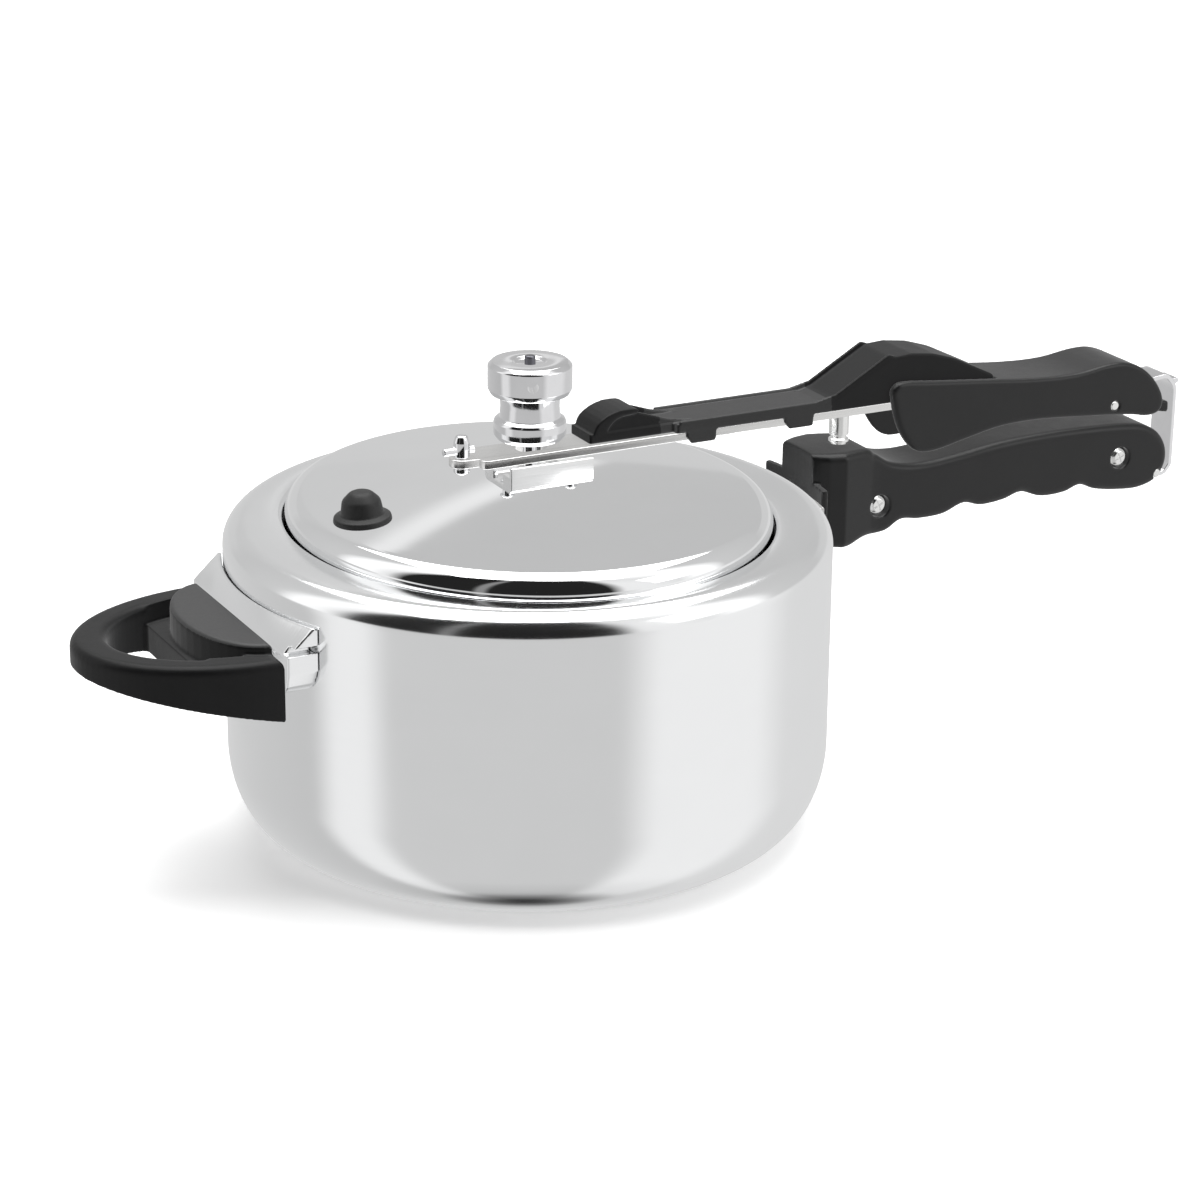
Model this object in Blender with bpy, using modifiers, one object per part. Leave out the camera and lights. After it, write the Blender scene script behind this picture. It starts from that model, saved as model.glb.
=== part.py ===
"""Stovetop pressure cooker with an inner lid that a lever pulls up against the rim.

Frame: origin at the centre of the pot's base, +X towards the long handle, +Z up.
Every size below is in millimetres; mm() turns it into Blender's metres.
"""
import math

import bmesh
import bpy
from mathutils import Matrix, Vector

MM = 0.001
GAP = 0.3                     # between neighbouring solids

# Pot
POT_R = 100.0
POT_H = 104.0
POT_WALL = 3.0
POT_FLOOR = 4.0
CORNER = (18.0, 28.0)         # base rounding: inwards, upwards
SHOULDER = (8.0, 8.0)         # top rounding: inwards, downwards
MOUTH_Y = 85.8                # half the oval mouth's long side, across the handles
OVAL = 0.924                  # short side over long side, for the mouth, lid and gasket
ROUND_STEPS = 48              # facets round the pot, the mouth and the lid

# Lid
LID_T = 2.5
LID_UPSTAND = MOUTH_Y - 0.7
LID_EDGE_R = 7.0
LID_EDGE_Z = POT_H + 7.4      # top of the plateau at its edge
LID_TOP_Z = POT_H + 10.2      # top of the plateau at its centre
LID_FLANGE_R = 91.5
LID_FLANGE_Z = POT_H - 7.6    # top face of the hidden flange
VENT_X = 0.5
VALVE_XY = (-62.0, -7.0)

# Lever
BAR_Z = (123.7, 126.5)
BAR_HALF_W = 8.0
BAR_END_X = 200.0
FULCRUM_X = 118.0
FULCRUM_Z = 123.8
LINK_X = 10.0
LINK_Z = 120.2
STUD_X = -24.0

# Handles
LOWER_HALF_W = 11.6
UPPER_HALF_W = 12.8
SCREWS_XZ = ((128.6, 91.0), (228.5, 94.3))
LATCH_X = 245.5
LATCH_Z = 86.0
HELPER_X = -102.6             # flat side of the helper handle, next to the pot
HELPER_REACH = 54.4
HELPER_HALF_W = 39.0
HELPER_TOP = 83.0

# Fasteners.
BRACKET_RIVET_ANGLE = math.asin(17.0 / POT_R)
HELPER_RIVET_ANGLE = math.asin(24.0 / POT_R)
RIVETS = [
    ("handle_rivet_1", -BRACKET_RIVET_ANGLE, 84.0),
    ("handle_rivet_2", BRACKET_RIVET_ANGLE, 84.0),
    ("handle_rivet_3", -BRACKET_RIVET_ANGLE, 93.0),
    ("handle_rivet_4", BRACKET_RIVET_ANGLE, 93.0),
    ("helper_rivet_1", math.pi - HELPER_RIVET_ANGLE, 79.0),
    ("helper_rivet_2", math.pi + HELPER_RIVET_ANGLE, 79.0),
]
BRACKET_RIVETS_X = (-7.6, 15.5)   # through the lid's bracket
HANDLE_SCREWS_X = (181.0, 193.0)  # from the grip into the bar
HANDLE_PIN = (223.8, 114.6)       # X and Z of the cross pin in the grip

model = None
cutters = None


def mm(value):
    """Millimetres, as a number or a point, in metres."""
    if isinstance(value, (int, float)):
        return value * MM
    return Vector([v * MM for v in value])


# ---------------------------------------------------------------- materials

def material(name, color, roughness, metallic=0.0):
    mat = bpy.data.materials.get(name) or bpy.data.materials.new(name)
    mat.use_nodes = True
    shader = mat.node_tree.nodes["Principled BSDF"]
    shader.inputs["Base Color"].default_value = (*color, 1.0)
    shader.inputs["Roughness"].default_value = roughness
    shader.inputs["Metallic"].default_value = metallic
    return mat


def aluminium():
    return material("polished_aluminium", (0.82, 0.82, 0.82), 0.25, 1.0)


def steel():
    return material("stainless_steel", (0.72, 0.72, 0.72), 0.3, 1.0)


def chrome():
    return material("chrome_plate", (0.85, 0.85, 0.86), 0.08, 1.0)


def plastic():
    return material("black_plastic", (0.018, 0.018, 0.019), 0.5)


def rubber():
    return material("black_rubber", (0.025, 0.025, 0.025), 0.7)


def grey_rubber():
    return material("gasket_rubber", (0.06, 0.06, 0.065), 0.75)


# ---------------------------------------------------------------- helpers

def add_object(name, mesh, mat=None):
    """A part when it has a material, or else a cutter."""
    obj = bpy.data.objects.new(name, mesh)
    if mat:
        mesh.materials.clear()
        mesh.materials.append(mat)
        model.objects.link(obj)
    else:
        cutters.objects.link(obj)
        obj.hide_render = True
        obj.display_type = "WIRE"
    return obj


def turned(name, profile, mat=None, steps=32, closed=False):
    """A profile of (radius, height) points, turned about Z.

    The profile's outer side runs from top to bottom.
    """
    mesh = bpy.data.meshes.new(name)
    points = [mm((r, 0, z)) for r, z in profile]
    edges = [(i, i + 1) for i in range(len(points) - 1)]
    if closed:
        edges.append((len(points) - 1, 0))
    mesh.from_pydata(points, edges, [])
    obj = add_object(name, mesh, mat)
    screw = obj.modifiers.new("Turn", "SCREW")
    screw.axis = "Z"
    screw.angle = math.tau
    screw.steps = steps
    screw.render_steps = steps
    screw.use_merge_vertices = True
    screw.merge_threshold = 0.00001
    return obj


def tube_cutter(name, radius, low, high, steps=20):
    return turned(name, [(0, high), (radius, high), (radius, low), (0, low)], steps=steps)


def place(obj, location=(0, 0, 0), rotation=(0, 0, 0)):
    obj.location = mm(location)
    obj.rotation_euler = rotation
    return obj


def along_y(obj, x, z):
    """Turns a piece so that its +Z points at the near side, -Y."""
    return place(obj, (x, 0, z), (math.pi / 2, 0, 0))


def radial(obj, angle, z):
    """Turns a piece so that its +Z points out of the pot's wall."""
    return place(obj, (0, 0, z), (0, math.pi / 2, angle))


PLANES = {
    "XY": Matrix.Identity(4),
    "XZ": Matrix.Rotation(math.pi / 2, 4, "X"),
    "YZ": Matrix.Rotation(math.pi / 2, 4, "Z") @ Matrix.Rotation(math.pi / 2, 4, "X"),
}


def plate(name, outlines, low, high, mat=None, plane="XY", rounding=0.0):
    """A flat outline, with any holes, extruded from low to high across its plane.

    Plane XZ runs from low to high along -Y, and YZ along +X.
    """
    curve = bpy.data.curves.new(name, "CURVE")
    curve.dimensions = "2D"
    curve.fill_mode = "BOTH"
    curve.extrude = mm((high - low) / 2 - rounding)
    curve.bevel_depth = mm(rounding)
    curve.bevel_resolution = 1 if rounding else 0
    curve.offset = -mm(rounding)
    for outline in outlines:
        spline = curve.splines.new("POLY")
        spline.points.add(len(outline) - 1)
        for point, (u, v) in zip(spline.points, outline):
            point.co = (*mm((u, v, 0)), 1.0)
        spline.use_cyclic_u = True
    temp = bpy.data.objects.new(name + "_outline", curve)
    model.objects.link(temp)
    graph = bpy.context.evaluated_depsgraph_get()
    mesh = bpy.data.meshes.new_from_object(temp.evaluated_get(graph))
    bpy.data.objects.remove(temp)
    mesh.name = name
    body = bmesh.new()
    body.from_mesh(mesh)
    bmesh.ops.remove_doubles(body, verts=body.verts, dist=mm(0.001))
    body.to_mesh(mesh)
    body.free()
    mesh.transform(Matrix.Translation((0, 0, mm((high + low) / 2))))
    mesh.transform(PLANES[plane])
    return add_object(name, mesh, mat)


def block(name, low, high, mat=None):
    """A box between two corners."""
    body = bmesh.new()
    size = mm(high) - mm(low)
    bmesh.ops.create_cube(body, size=1.0, matrix=Matrix.Diagonal((*size, 1.0)))
    mesh = bpy.data.meshes.new(name)
    body.to_mesh(mesh)
    body.free()
    obj = add_object(name, mesh, mat)
    obj.location = (mm(low) + mm(high)) / 2
    return obj


def combine(obj, operation, others, solver):
    for other in others:
        boolean = obj.modifiers.new(other.name, "BOOLEAN")
        boolean.operation = operation
        boolean.solver = solver
        boolean.object = other
    return obj


def cut(obj, *others, solver="EXACT"):
    return combine(obj, "DIFFERENCE", others, solver)


def join(obj, *others, solver="EXACT"):
    return combine(obj, "UNION", others, solver)


def arc(centre, radii, start, end, count):
    """Points on an elliptical arc, angles in degrees."""
    points = []
    for i in range(count + 1):
        a = math.radians(start + (end - start) * i / count)
        points.append((centre[0] + radii[0] * math.cos(a), centre[1] + radii[1] * math.sin(a)))
    return points


def smooth(points, count=3):
    """A closed Catmull-Rom curve through the points."""
    out = []
    n = len(points)
    for i in range(n):
        p0, p1, p2, p3 = (Vector(points[(i + k - 1) % n]) for k in range(4))
        for j in range(count):
            t = j / count
            out.append(tuple(0.5 * (2 * p1 + (p2 - p0) * t + (2 * p0 - 5 * p1 + 4 * p2 - p3) * t * t
                                    + (3 * p1 - p0 - 3 * p2 + p3) * t ** 3)))
    return out


def rounded_box(low, high, radius, count=3):
    """A rectangle's outline with round corners."""
    (x0, y0), (x1, y1) = low, high
    corners = [((x1 - radius, y0 + radius), -90), ((x1 - radius, y1 - radius), 0),
               ((x0 + radius, y1 - radius), 90), ((x0 + radius, y0 + radius), 180)]
    points = []
    for centre, start in corners:
        points += arc(centre, (radius, radius), start, start + 90, count)
    return points


def sector(r_in, r_out, half_width, middle=0.0, count=8):
    """A curved strip's outline, hugging the pot's wall."""
    half = math.degrees(math.asin(half_width / r_in))
    outer = arc((0, 0), (r_out, r_out), middle - half, middle + half, count)
    inner = arc((0, 0), (r_in, r_in), middle + half, middle - half, count)
    return outer + inner


def band(path, thickness):
    """The outline of a strip of even thickness along a path."""
    left, right = [], []
    for i, point in enumerate(path):
        before = Vector(path[max(i - 1, 0)])
        after = Vector(path[min(i + 1, len(path) - 1)])
        direction = (after - before).normalized()
        side = Vector((-direction.y, direction.x)) * thickness / 2
        left.append(tuple(Vector(point) + side))
        right.append(tuple(Vector(point) - side))
    return left + right[::-1]


def hexagon(radius):
    return arc((0, 0), (radius, radius), 0, 300, 5)


# ---------------------------------------------------------------- pot

def make_pot():
    outer_corner = arc((POT_R - CORNER[0], CORNER[1]), CORNER, 0, -90, 5)
    inner_r = POT_R - POT_WALL
    inner_size = (CORNER[0] - 1.0, CORNER[1] - 3.0)
    inner_corner = arc((inner_r - inner_size[0], POT_FLOOR + inner_size[1]), inner_size, -90, 0, 4)
    under = POT_H - POT_WALL
    hole_r = 70.0
    profile = [(0, POT_FLOOR)] + inner_corner
    profile += arc((inner_r - 3, under - 3), (3, 3), 0, 90, 2)
    profile += [(hole_r, under), (hole_r, POT_H)]
    profile += arc((POT_R - SHOULDER[0], POT_H - SHOULDER[1]), SHOULDER, 90, 0, 4)
    profile += outer_corner + [(0, 0)]
    pot = turned("pot_body", profile, aluminium(), steps=ROUND_STEPS)
    for name, angle, z in RIVETS:
        hole = tube_cutter(name + "_wall_hole", 2.6, POT_R - 8, POT_R + 12, 10)
        cut(pot, radial(hole, angle, z))
    mouth = tube_cutter("mouth_cutter", MOUTH_Y, POT_H - 10, POT_H + 10, ROUND_STEPS)
    mouth.scale.x = OVAL
    cut(pot, mouth)


def make_rivets():
    """Rivets with a domed head inside the pot and a flush end in the bracket."""
    inside = POT_R - POT_WALL - GAP
    for name, angle, z in RIVETS:
        end = 104.6 if name.startswith("helper") else 101.9
        profile = [(0, end), (2.3, end), (2.3, inside), (4.2, inside)]
        profile += [(4.0, inside - 0.8), (2.6, inside - 1.5), (0, inside - 1.8)]
        radial(turned(name, profile, aluminium(), steps=12), angle, z)


def rivet_holes(obj, prefix):
    for name, angle, z in RIVETS:
        if name.startswith(prefix):
            hole = tube_cutter(name + "_bracket_hole", 2.6, POT_R - 8, POT_R + 12, 12)
            cut(obj, radial(hole, angle, z), solver="MANIFOLD")


# ---------------------------------------------------------------- long handle's fixed half

def make_handle_bracket():
    r_in = POT_R + GAP
    bracket = plate("handle_bracket", [sector(r_in, r_in + 1.8, 22.0)], 78.0, 98.0, steel())
    rib_outline = [(101.2, 84.0), (140.0, 84.0), (140.0, 97.0), (101.2, 97.0)]
    rib = plate("bracket_rib", [rib_outline], -1.5, 1.5, plane="XZ")
    boss = tube_cutter("bracket_boss", 4.6, 84.5, 103.0, 16)
    join(bracket, rib, place(boss, (FULCRUM_X, 0, 0)))
    bore = tube_cutter("bracket_bore", 2.8, 95.0, 106.0, 16)
    x, z = SCREWS_XZ[0]
    screw_hole = tube_cutter("bracket_screw_hole", 2.3, -6, 6, 12)
    cut(bracket, place(bore, (FULCRUM_X, 0, 0)), along_y(screw_hole, x, z), solver="MANIFOLD")
    rivet_holes(bracket, "handle")


def lower_handle_outline():
    return smooth([
        (88.0, 104.0), (90.0, 109.5), (96.0, 112.2), (121.0, 112.2), (127.0, 109.6), (134.0, 105.6),
        (145.0, 103.9),
        (160.0, 104.9), (178.0, 107.0), (203.0, 107.6), (232.0, 106.2), (243.0, 103.0), (248.4, 97.0),
        (249.2, 90.0), (245.5, 84.0), (238.0, 81.6), (229.0, 82.0), (219.5, 83.6), (212.5, 86.2),
        (205.5, 84.4), (196.0, 84.4), (187.5, 87.2), (180.0, 85.4), (171.0, 84.8), (163.5, 86.6),
        (155.0, 83.9), (145.5, 83.6), (138.0, 84.4), (131.5, 81.2), (122.5, 80.6), (115.0, 78.6),
        (107.0, 79.4), (97.0, 79.8), (90.0, 82.5), (88.0, 88.0)])


def widen_head(obj):
    """Swells the handle's half width towards the pot, and slims its rear."""
    for vertex in obj.data.vertices:
        x = vertex.co.x / MM
        head = 3.2 * max(0.0, 1.0 - abs(x - 113.0) / 13.0)
        slim = 0.7 * max(0.0, (x - 150.0) / 100.0)
        pinch = 3.0 * max(0.0, (106.0 - x) / 7.0)
        vertex.co.y *= (LOWER_HALF_W + head - slim - pinch) / LOWER_HALF_W


def make_lower_handle():
    handle = plate("lower_handle", [lower_handle_outline()], -LOWER_HALF_W, LOWER_HALF_W,
                   plastic(), plane="XZ", rounding=3.0)
    widen_head(handle)
    wall = POT_R + GAP + 1.8 + GAP
    flange = plate("handle_flange", [sector(wall - 1.0, wall + 2.2, 19.0)], 82.0, 102.5)
    join(handle, flange)
    cut(handle, tube_cutter("head_wall_cutter", wall, 60.0, 130.0, 96))
    slot = block("rib_slot", (90.0, -1.9, 83.5), (140.5, 1.9, 97.4))
    boss = place(tube_cutter("boss_hole", 5.0, 83.9, 103.4, 16), (FULCRUM_X, 0, 0))
    stud = place(tube_cutter("stud_hole", 2.9, 100.0, 120.0, 16), (FULCRUM_X, 0, 0))
    cut(handle, slot, boss, stud)
    for i, (x, z) in enumerate(SCREWS_XZ):
        hole = tube_cutter("screw_hole_%d" % i, 2.2, -20, 20, 12)
        near = tube_cutter("screw_recess_%d" % i, 4.0, 8.0, 20.0, 20)
        far = tube_cutter("nut_recess_%d" % i, 4.2, -20.0, -7.0, 20)
        cut(handle, along_y(hole, x, z), along_y(near, x, z), along_y(far, x, z), solver="MANIFOLD")
    latch_slot = block("latch_slot", (235.5, -6.5, 70.0), (262.0, 6.5, 91.5))
    pin_hole = tube_cutter("latch_pin_hole", 1.8, -20, 20, 12)
    cut(handle, latch_slot, along_y(pin_hole, LATCH_X, LATCH_Z), solver="MANIFOLD")


def make_handle_screws():
    for i, (x, z) in enumerate(SCREWS_XZ):
        name = ("front", "rear")[i]
        head = [(0, 9.6), (1.1, 9.8), (1.3, 10.5), (2.4, 10.4), (3.1, 9.6), (3.1, 8.3)]
        shank = [(1.9, 8.3), (1.9, -10.2), (0, -10.2)]
        screw = turned(name + "_screw", head + shank, steel(), steps=16)
        along_y(screw, x, z)
        nut = plate(name + "_nut", [hexagon(3.7), arc((0, 0), (2.2, 2.2), 0, 330, 11)], -9.9, -7.3, steel())
        along_y(nut, x, z)


def make_fulcrum():
    """The post that carries the lever: a shouldered stud with a domed nut on top."""
    top = FULCRUM_Z - 0.8
    profile = [(0, 130.0), (1.8, 130.0), (1.9, top), (3.0, top), (3.45, top - 0.6), (3.45, 115.4)]
    profile += [(2.7, 115.0), (2.7, 114.2), (3.45, 113.8), (3.45, 112.8), (2.5, 112.8), (2.5, 96.0),
                (0, 96.0)]
    place(turned("fulcrum_post", profile, steel(), steps=20), (FULCRUM_X, 0, 0))
    nut = [(2.1, 127.6), (4.0, 127.6), (4.0, 129.2), (3.2, 129.9), (2.1, 129.9)]
    place(turned("fulcrum_nut", nut[::-1], steel(), steps=12, closed=True), (FULCRUM_X, 0, 0))


# ---------------------------------------------------------------- helper handle

def make_helper_bracket():
    """A saddle between the round wall and the handle's flat side, lofted across its width."""
    half, count = 40.0, 16
    wall_r = POT_R + GAP
    out_x = HELPER_X + GAP
    mesh = bpy.data.meshes.new("helper_bracket")
    body = bmesh.new()
    rings = []
    for i in range(count + 1):
        y = -half + 2 * half * i / count
        corner = max(0.0, abs(y) - (half - 8.0))
        low = 70.0 + 8.0 - math.sqrt(64.0 - corner * corner)
        wall_x = -math.sqrt(wall_r ** 2 - y * y)
        ring = [(out_x, low), (wall_x, low), (wall_x, 92.0), (wall_x - 0.6, 92.4), (out_x, 84.0)]
        rings.append([body.verts.new(mm((x, y, z))) for x, z in ring])
    for a, b in zip(rings, rings[1:]):
        for j in range(5):
            k = (j + 1) % 5
            body.faces.new((a[j], b[j], b[k], a[k]))
    body.faces.new(rings[0])
    body.faces.new(rings[-1][::-1])
    bmesh.ops.triangulate(body, faces=body.faces)
    bmesh.ops.recalc_face_normals(body, faces=body.faces)
    body.to_mesh(mesh)
    body.free()
    bracket = add_object("helper_bracket", mesh, aluminium())
    join(bracket, block("helper_tongue", (-114.0, -11.0, 72.0), (-101.2, 11.0, 75.0)))
    screw_hole = place(tube_cutter("tongue_hole", 2.3, 70.0, 78.0, 12), (-108.5, 0, 0))
    cut(bracket, screw_hole)
    for side in (-1, 1):
        low, high = sorted((side * 31.0, side * 41.0))
        cut(bracket, block("end_slot_%d" % side, (-104.0, low, 85.1), (-80.0, high, 86.6)))
    rivet_holes(bracket, "helper")


def helper_loop(reach, half_width, x_limit):
    """Half an oval from the flat side outwards, kept to x below x_limit."""
    points = []
    for i in range(33):
        a = math.radians(-90 + 180 * i / 32)
        x = HELPER_X - reach * math.cos(a)
        if x <= x_limit + 0.001:
            points.append((x, half_width * math.sin(a)))
    return points


def make_helper_handle():
    outer = helper_loop(HELPER_REACH, HELPER_HALF_W, HELPER_X)
    inner = helper_loop(HELPER_REACH - 12.0, HELPER_HALF_W - 9.0, -121.5)
    handle = plate("helper_handle", [outer, inner], 60.0, HELPER_TOP, plastic(), rounding=2.6)
    thumb = [(HELPER_X - 1.2 - 18.0 * math.cos(a), 33.0 * math.sin(a))
             for a in [math.radians(-90 + 180 * i / 16) for i in range(17)]]
    join(handle, plate("thumb_plate", [thumb], 80.0, 87.0, rounding=1.5))
    slope = block("underside_slope", (-90.0, -60.0, -30.0), (90.0, 60.0, 0.0))
    place(slope, (-128.0, 0, 68.2), (0, math.radians(13.0), 0))
    slope.data.transform(Matrix.Translation((0, 0, -mm(15.0))))
    slot = block("tongue_slot", (-114.4, -11.4, 71.6), (-90.0, 11.4, 75.4))
    screw_hole = place(tube_cutter("helper_screw_hole", 2.2, 50.0, 79.0, 12), (-108.5, 0, 0))
    recess = place(tube_cutter("helper_screw_recess", 4.0, 50.0, 67.5, 16), (-108.5, 0, 0))
    cut(handle, slope, slot, screw_hole, recess)
    profile = [(0, 78.6), (1.9, 78.6), (1.9, 67.2), (3.5, 67.2), (3.5, 65.8), (2.2, 65.0), (0, 65.0)]
    place(turned("helper_screw", profile, steel(), steps=16), (-108.5, 0, 0))


# ---------------------------------------------------------------- lid

def lid_height(r):
    """The lid's top face at radius r, measured along its long side."""
    return LID_TOP_Z - (LID_TOP_Z - LID_EDGE_Z) * (r / (LID_UPSTAND - LID_EDGE_R)) ** 2


def make_lid():
    edge = LID_UPSTAND - LID_EDGE_R
    low = LID_FLANGE_Z - LID_T
    inner_r = LID_UPSTAND - LID_T
    profile = [(r, lid_height(r)) for r in (0, 30, 58)]
    profile += arc((edge, LID_EDGE_Z - LID_EDGE_R), (LID_EDGE_R, LID_EDGE_R), 90, 0, 5)
    profile += [(LID_UPSTAND, LID_FLANGE_Z), (LID_FLANGE_R, LID_FLANGE_Z), (LID_FLANGE_R, low),
                (inner_r, low)]
    inner = LID_EDGE_R - LID_T
    profile += arc((edge, LID_EDGE_Z - LID_EDGE_R), (inner, inner), 0, 90, 3)
    profile += [(r, lid_height(r) - LID_T) for r in (58, 30, 0)]
    lid = turned("lid", profile, aluminium(), steps=ROUND_STEPS)
    lid.scale.x = OVAL
    vent = place(tube_cutter("lid_vent_hole", 2.8, 100.0, 120.0, 12), (VENT_X, 0, 0))
    valve = place(tube_cutter("lid_valve_hole", 4.1, -8.0, 8.0, 16), valve_place(), (0, valve_tilt(), 0))
    cut(lid, vent, valve)
    for i, x in enumerate(BRACKET_RIVETS_X):
        cut(lid, place(tube_cutter("lid_rivet_hole_%d" % i, 1.9, 100.0, 120.0, 12), (x, 0, 0)))


def make_gasket():
    low = LID_FLANGE_Z + GAP
    high = POT_H - POT_WALL - GAP
    inner, outer = LID_UPSTAND + 0.4, LID_FLANGE_R + 0.4
    profile = [(inner, high - 0.6), (inner + 0.6, high), (outer - 1.4, high), (outer, high - 1.2)]
    profile += [(outer, low + 0.6), (outer - 0.6, low), (inner + 0.6, low), (inner, low + 0.6)]
    gasket = turned("lid_gasket", profile, grey_rubber(), steps=36, closed=True)
    gasket.scale.x = OVAL


def make_lid_bracket():
    """A steel channel across the lid's centre that the lever's lugs are pinned in."""
    base, top = LID_TOP_Z + 0.4, BAR_Z[0] - GAP
    outer, inner = 9.9, 8.4
    outline = [(-outer, base), (outer, base), (outer, top), (inner, top), (inner, base + 1.8),
               (-inner, base + 1.8), (-inner, top), (-outer, top)]
    bracket = plate("lid_bracket", [outline], -11.0, 19.0, steel(), plane="YZ")
    for side in (-1, 1):
        low, high = sorted((side * 3.6, side * 9.0))
        join(bracket, block("return_flange_%d" % side, (-11.0, low, base + 0.5), (-9.4, high, 120.0)))
    vent = place(tube_cutter("bracket_vent_hole", 2.8, 110.0, 120.0, 12), (VENT_X, 0, 0))
    pin = along_y(tube_cutter("bracket_pin_hole", 1.8, -15, 15, 12), LINK_X, LINK_Z)
    cut(bracket, vent, pin)
    for i, x in enumerate(BRACKET_RIVETS_X):
        cut(bracket, place(tube_cutter("bracket_rivet_hole_%d" % i, 1.9, 110.0, 120.0, 12), (x, 0, 0)))
        seat = base + 1.8 + GAP
        under = LID_TOP_Z - LID_T - 0.5
        profile = [(0, seat + 1.2), (1.8, seat + 0.9), (2.8, seat), (1.6, seat), (1.6, under), (3.0, under)]
        profile += [(2.0, under - 1.1), (0, under - 1.4)]
        place(turned("lid_rivet_%d" % (i + 1), profile, aluminium(), steps=12), (x, 0, 0))
    pin = [(0, 9.7), (1.2, 9.7), (1.5, 9.4), (1.5, -9.4), (1.2, -9.7), (0, -9.7)]
    along_y(turned("link_pin", pin, steel(), steps=12), LINK_X, LINK_Z)


def make_vent():
    under = LID_TOP_Z - LID_T - 0.4
    profile = [(1.0, 136.2), (1.4, 136.2), (2.3, 133.4), (2.4, 133.0), (2.4, under), (4.2, under)]
    profile += [(4.2, under - 1.8), (3.4, under - 2.6), (1.0, under - 2.6)]
    place(turned("vent_pipe", profile, chrome(), steps=16, closed=True), (VENT_X, 0, 0))
    base = LID_TOP_Z + 0.4 + 1.8 + GAP
    nut = plate("vent_nut", [hexagon(4.6), arc((0, 0), (2.8, 2.8), 0, 330, 11)], base, base + 3.4, steel())
    place(nut, (VENT_X, 0, 0))


def valve_radius():
    return math.hypot(VALVE_XY[0] / OVAL, VALVE_XY[1])


def valve_place():
    return (*VALVE_XY, lid_height(valve_radius()))


def valve_tilt():
    """The lid's slope under the safety valve, so that the valve stands square on it."""
    rise = lid_height(valve_radius()) - lid_height(valve_radius() + 1.0)
    return -math.atan(rise / OVAL)


def make_safety_valve():
    under = -LID_T - 0.4
    profile = [(0, 10.6), (2.6, 10.2), (5.0, 8.8), (6.4, 6.6), (6.8, 4.0), (7.0, 2.6), (9.2, 2.2),
               (9.5, 1.4)]
    profile += [(9.3, 0.5), (3.7, 0.5), (3.7, under), (5.6, under), (5.2, under - 2.2), (3.0, under - 3.6)]
    profile += [(0, under - 4.0)]
    place(turned("safety_valve", profile, rubber(), steps=18), valve_place(), (0, valve_tilt(), 0))


# ---------------------------------------------------------------- weight

def make_weight():
    profile = [(0, 151.0), (2.1, 151.0), (2.1, 155.0), (5.2, 155.0), (6.0, 155.9), (11.0, 155.9)]
    profile += arc((11.0, 153.1), (2.8, 2.8), 70, 0, 3) + [(13.8, 147.6), (13.0, 145.6), (10.6, 144.6)]
    profile += [(9.7, 143.2), (9.4, 141.6), (9.6, 139.8), (10.4, 138.6), (11.6, 137.8), (11.8, 137.0)]
    profile += [(11.8, 131.2), (11.0, 130.0), (8.0, 129.2), (6.0, 128.6), (3.2, 128.6), (3.2, 134.0)]
    profile += [(1.9, 136.8), (0, 137.4)]
    weight = turned("weight_body", profile, chrome(), steps=24)
    place(weight, (VENT_X, 0, 0))
    for i in range(3):
        hole = tube_cutter("steam_hole_%d" % i, 1.8, 7.0, 16.0, 10)
        cut(weight, place(hole, (VENT_X, 0, 150.6), (0, math.pi / 2, math.radians(-112 + 120 * i))))
    stem = [(0, 157.6), (1.2, 157.4), (1.8, 156.8), (1.8, 151.4), (0, 151.4)]
    place(turned("weight_stem", stem, steel(), steps=12), (VENT_X, 0, 0))


# ---------------------------------------------------------------- lever

def make_lever_bar():
    """A flat steel bar with a slot for the vent pipe and two lugs under it for the link pin."""
    end = arc((STUD_X, 0), (4.2, 4.2), 100, 260, 6)
    outline = [(-18.0, 8.0), (-19.2, 7.4), (-19.8, 6.2), (-19.8, 4.2)] + end
    outline += [(-19.8, -4.2), (-19.8, -6.2), (-19.2, -7.4), (-18.0, -8.0)]
    outline += [(BAR_END_X, -BAR_HALF_W), (BAR_END_X, BAR_HALF_W)]
    bar = plate("lever_bar", [outline[::-1]], *BAR_Z, steel())
    for side in (-1, 1):
        foot = arc((LINK_X, LINK_Z), (3.3, 3.3), 180, 360, 8)
        lug = [(LINK_X + 3.3, BAR_Z[0] + 0.8), (LINK_X - 3.3, BAR_Z[0] + 0.8)] + foot
        low, high = sorted((side * 5.6, side * 7.6))
        join(bar, plate("bar_lug_%d" % side, [lug], low, high, plane="XZ"))
    slot = plate("vent_slot", [rounded_box((-4.5, -3.9), (6.0, 3.9), 2.5)], 120.0, 130.0)
    stud = place(tube_cutter("bar_stud_hole", 2.3, 120.0, 130.0, 12), (STUD_X, 0, 0))
    fulcrum = plate("bar_fulcrum_hole", [rounded_box((-2.9, -2.4), (2.9, 2.4), 1.2)], 120.0, 130.0)
    pin = along_y(tube_cutter("bar_pin_hole", 1.8, -15, 15, 12), LINK_X, LINK_Z)
    cut(bar, slot, stud, place(fulcrum, (FULCRUM_X, 0, 0)), pin)
    for i, x in enumerate(HANDLE_SCREWS_X):
        cut(bar, place(tube_cutter("bar_screw_hole_%d" % i, 2.0, 120.0, 130.0, 12), (x, 0, 0)))


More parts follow.
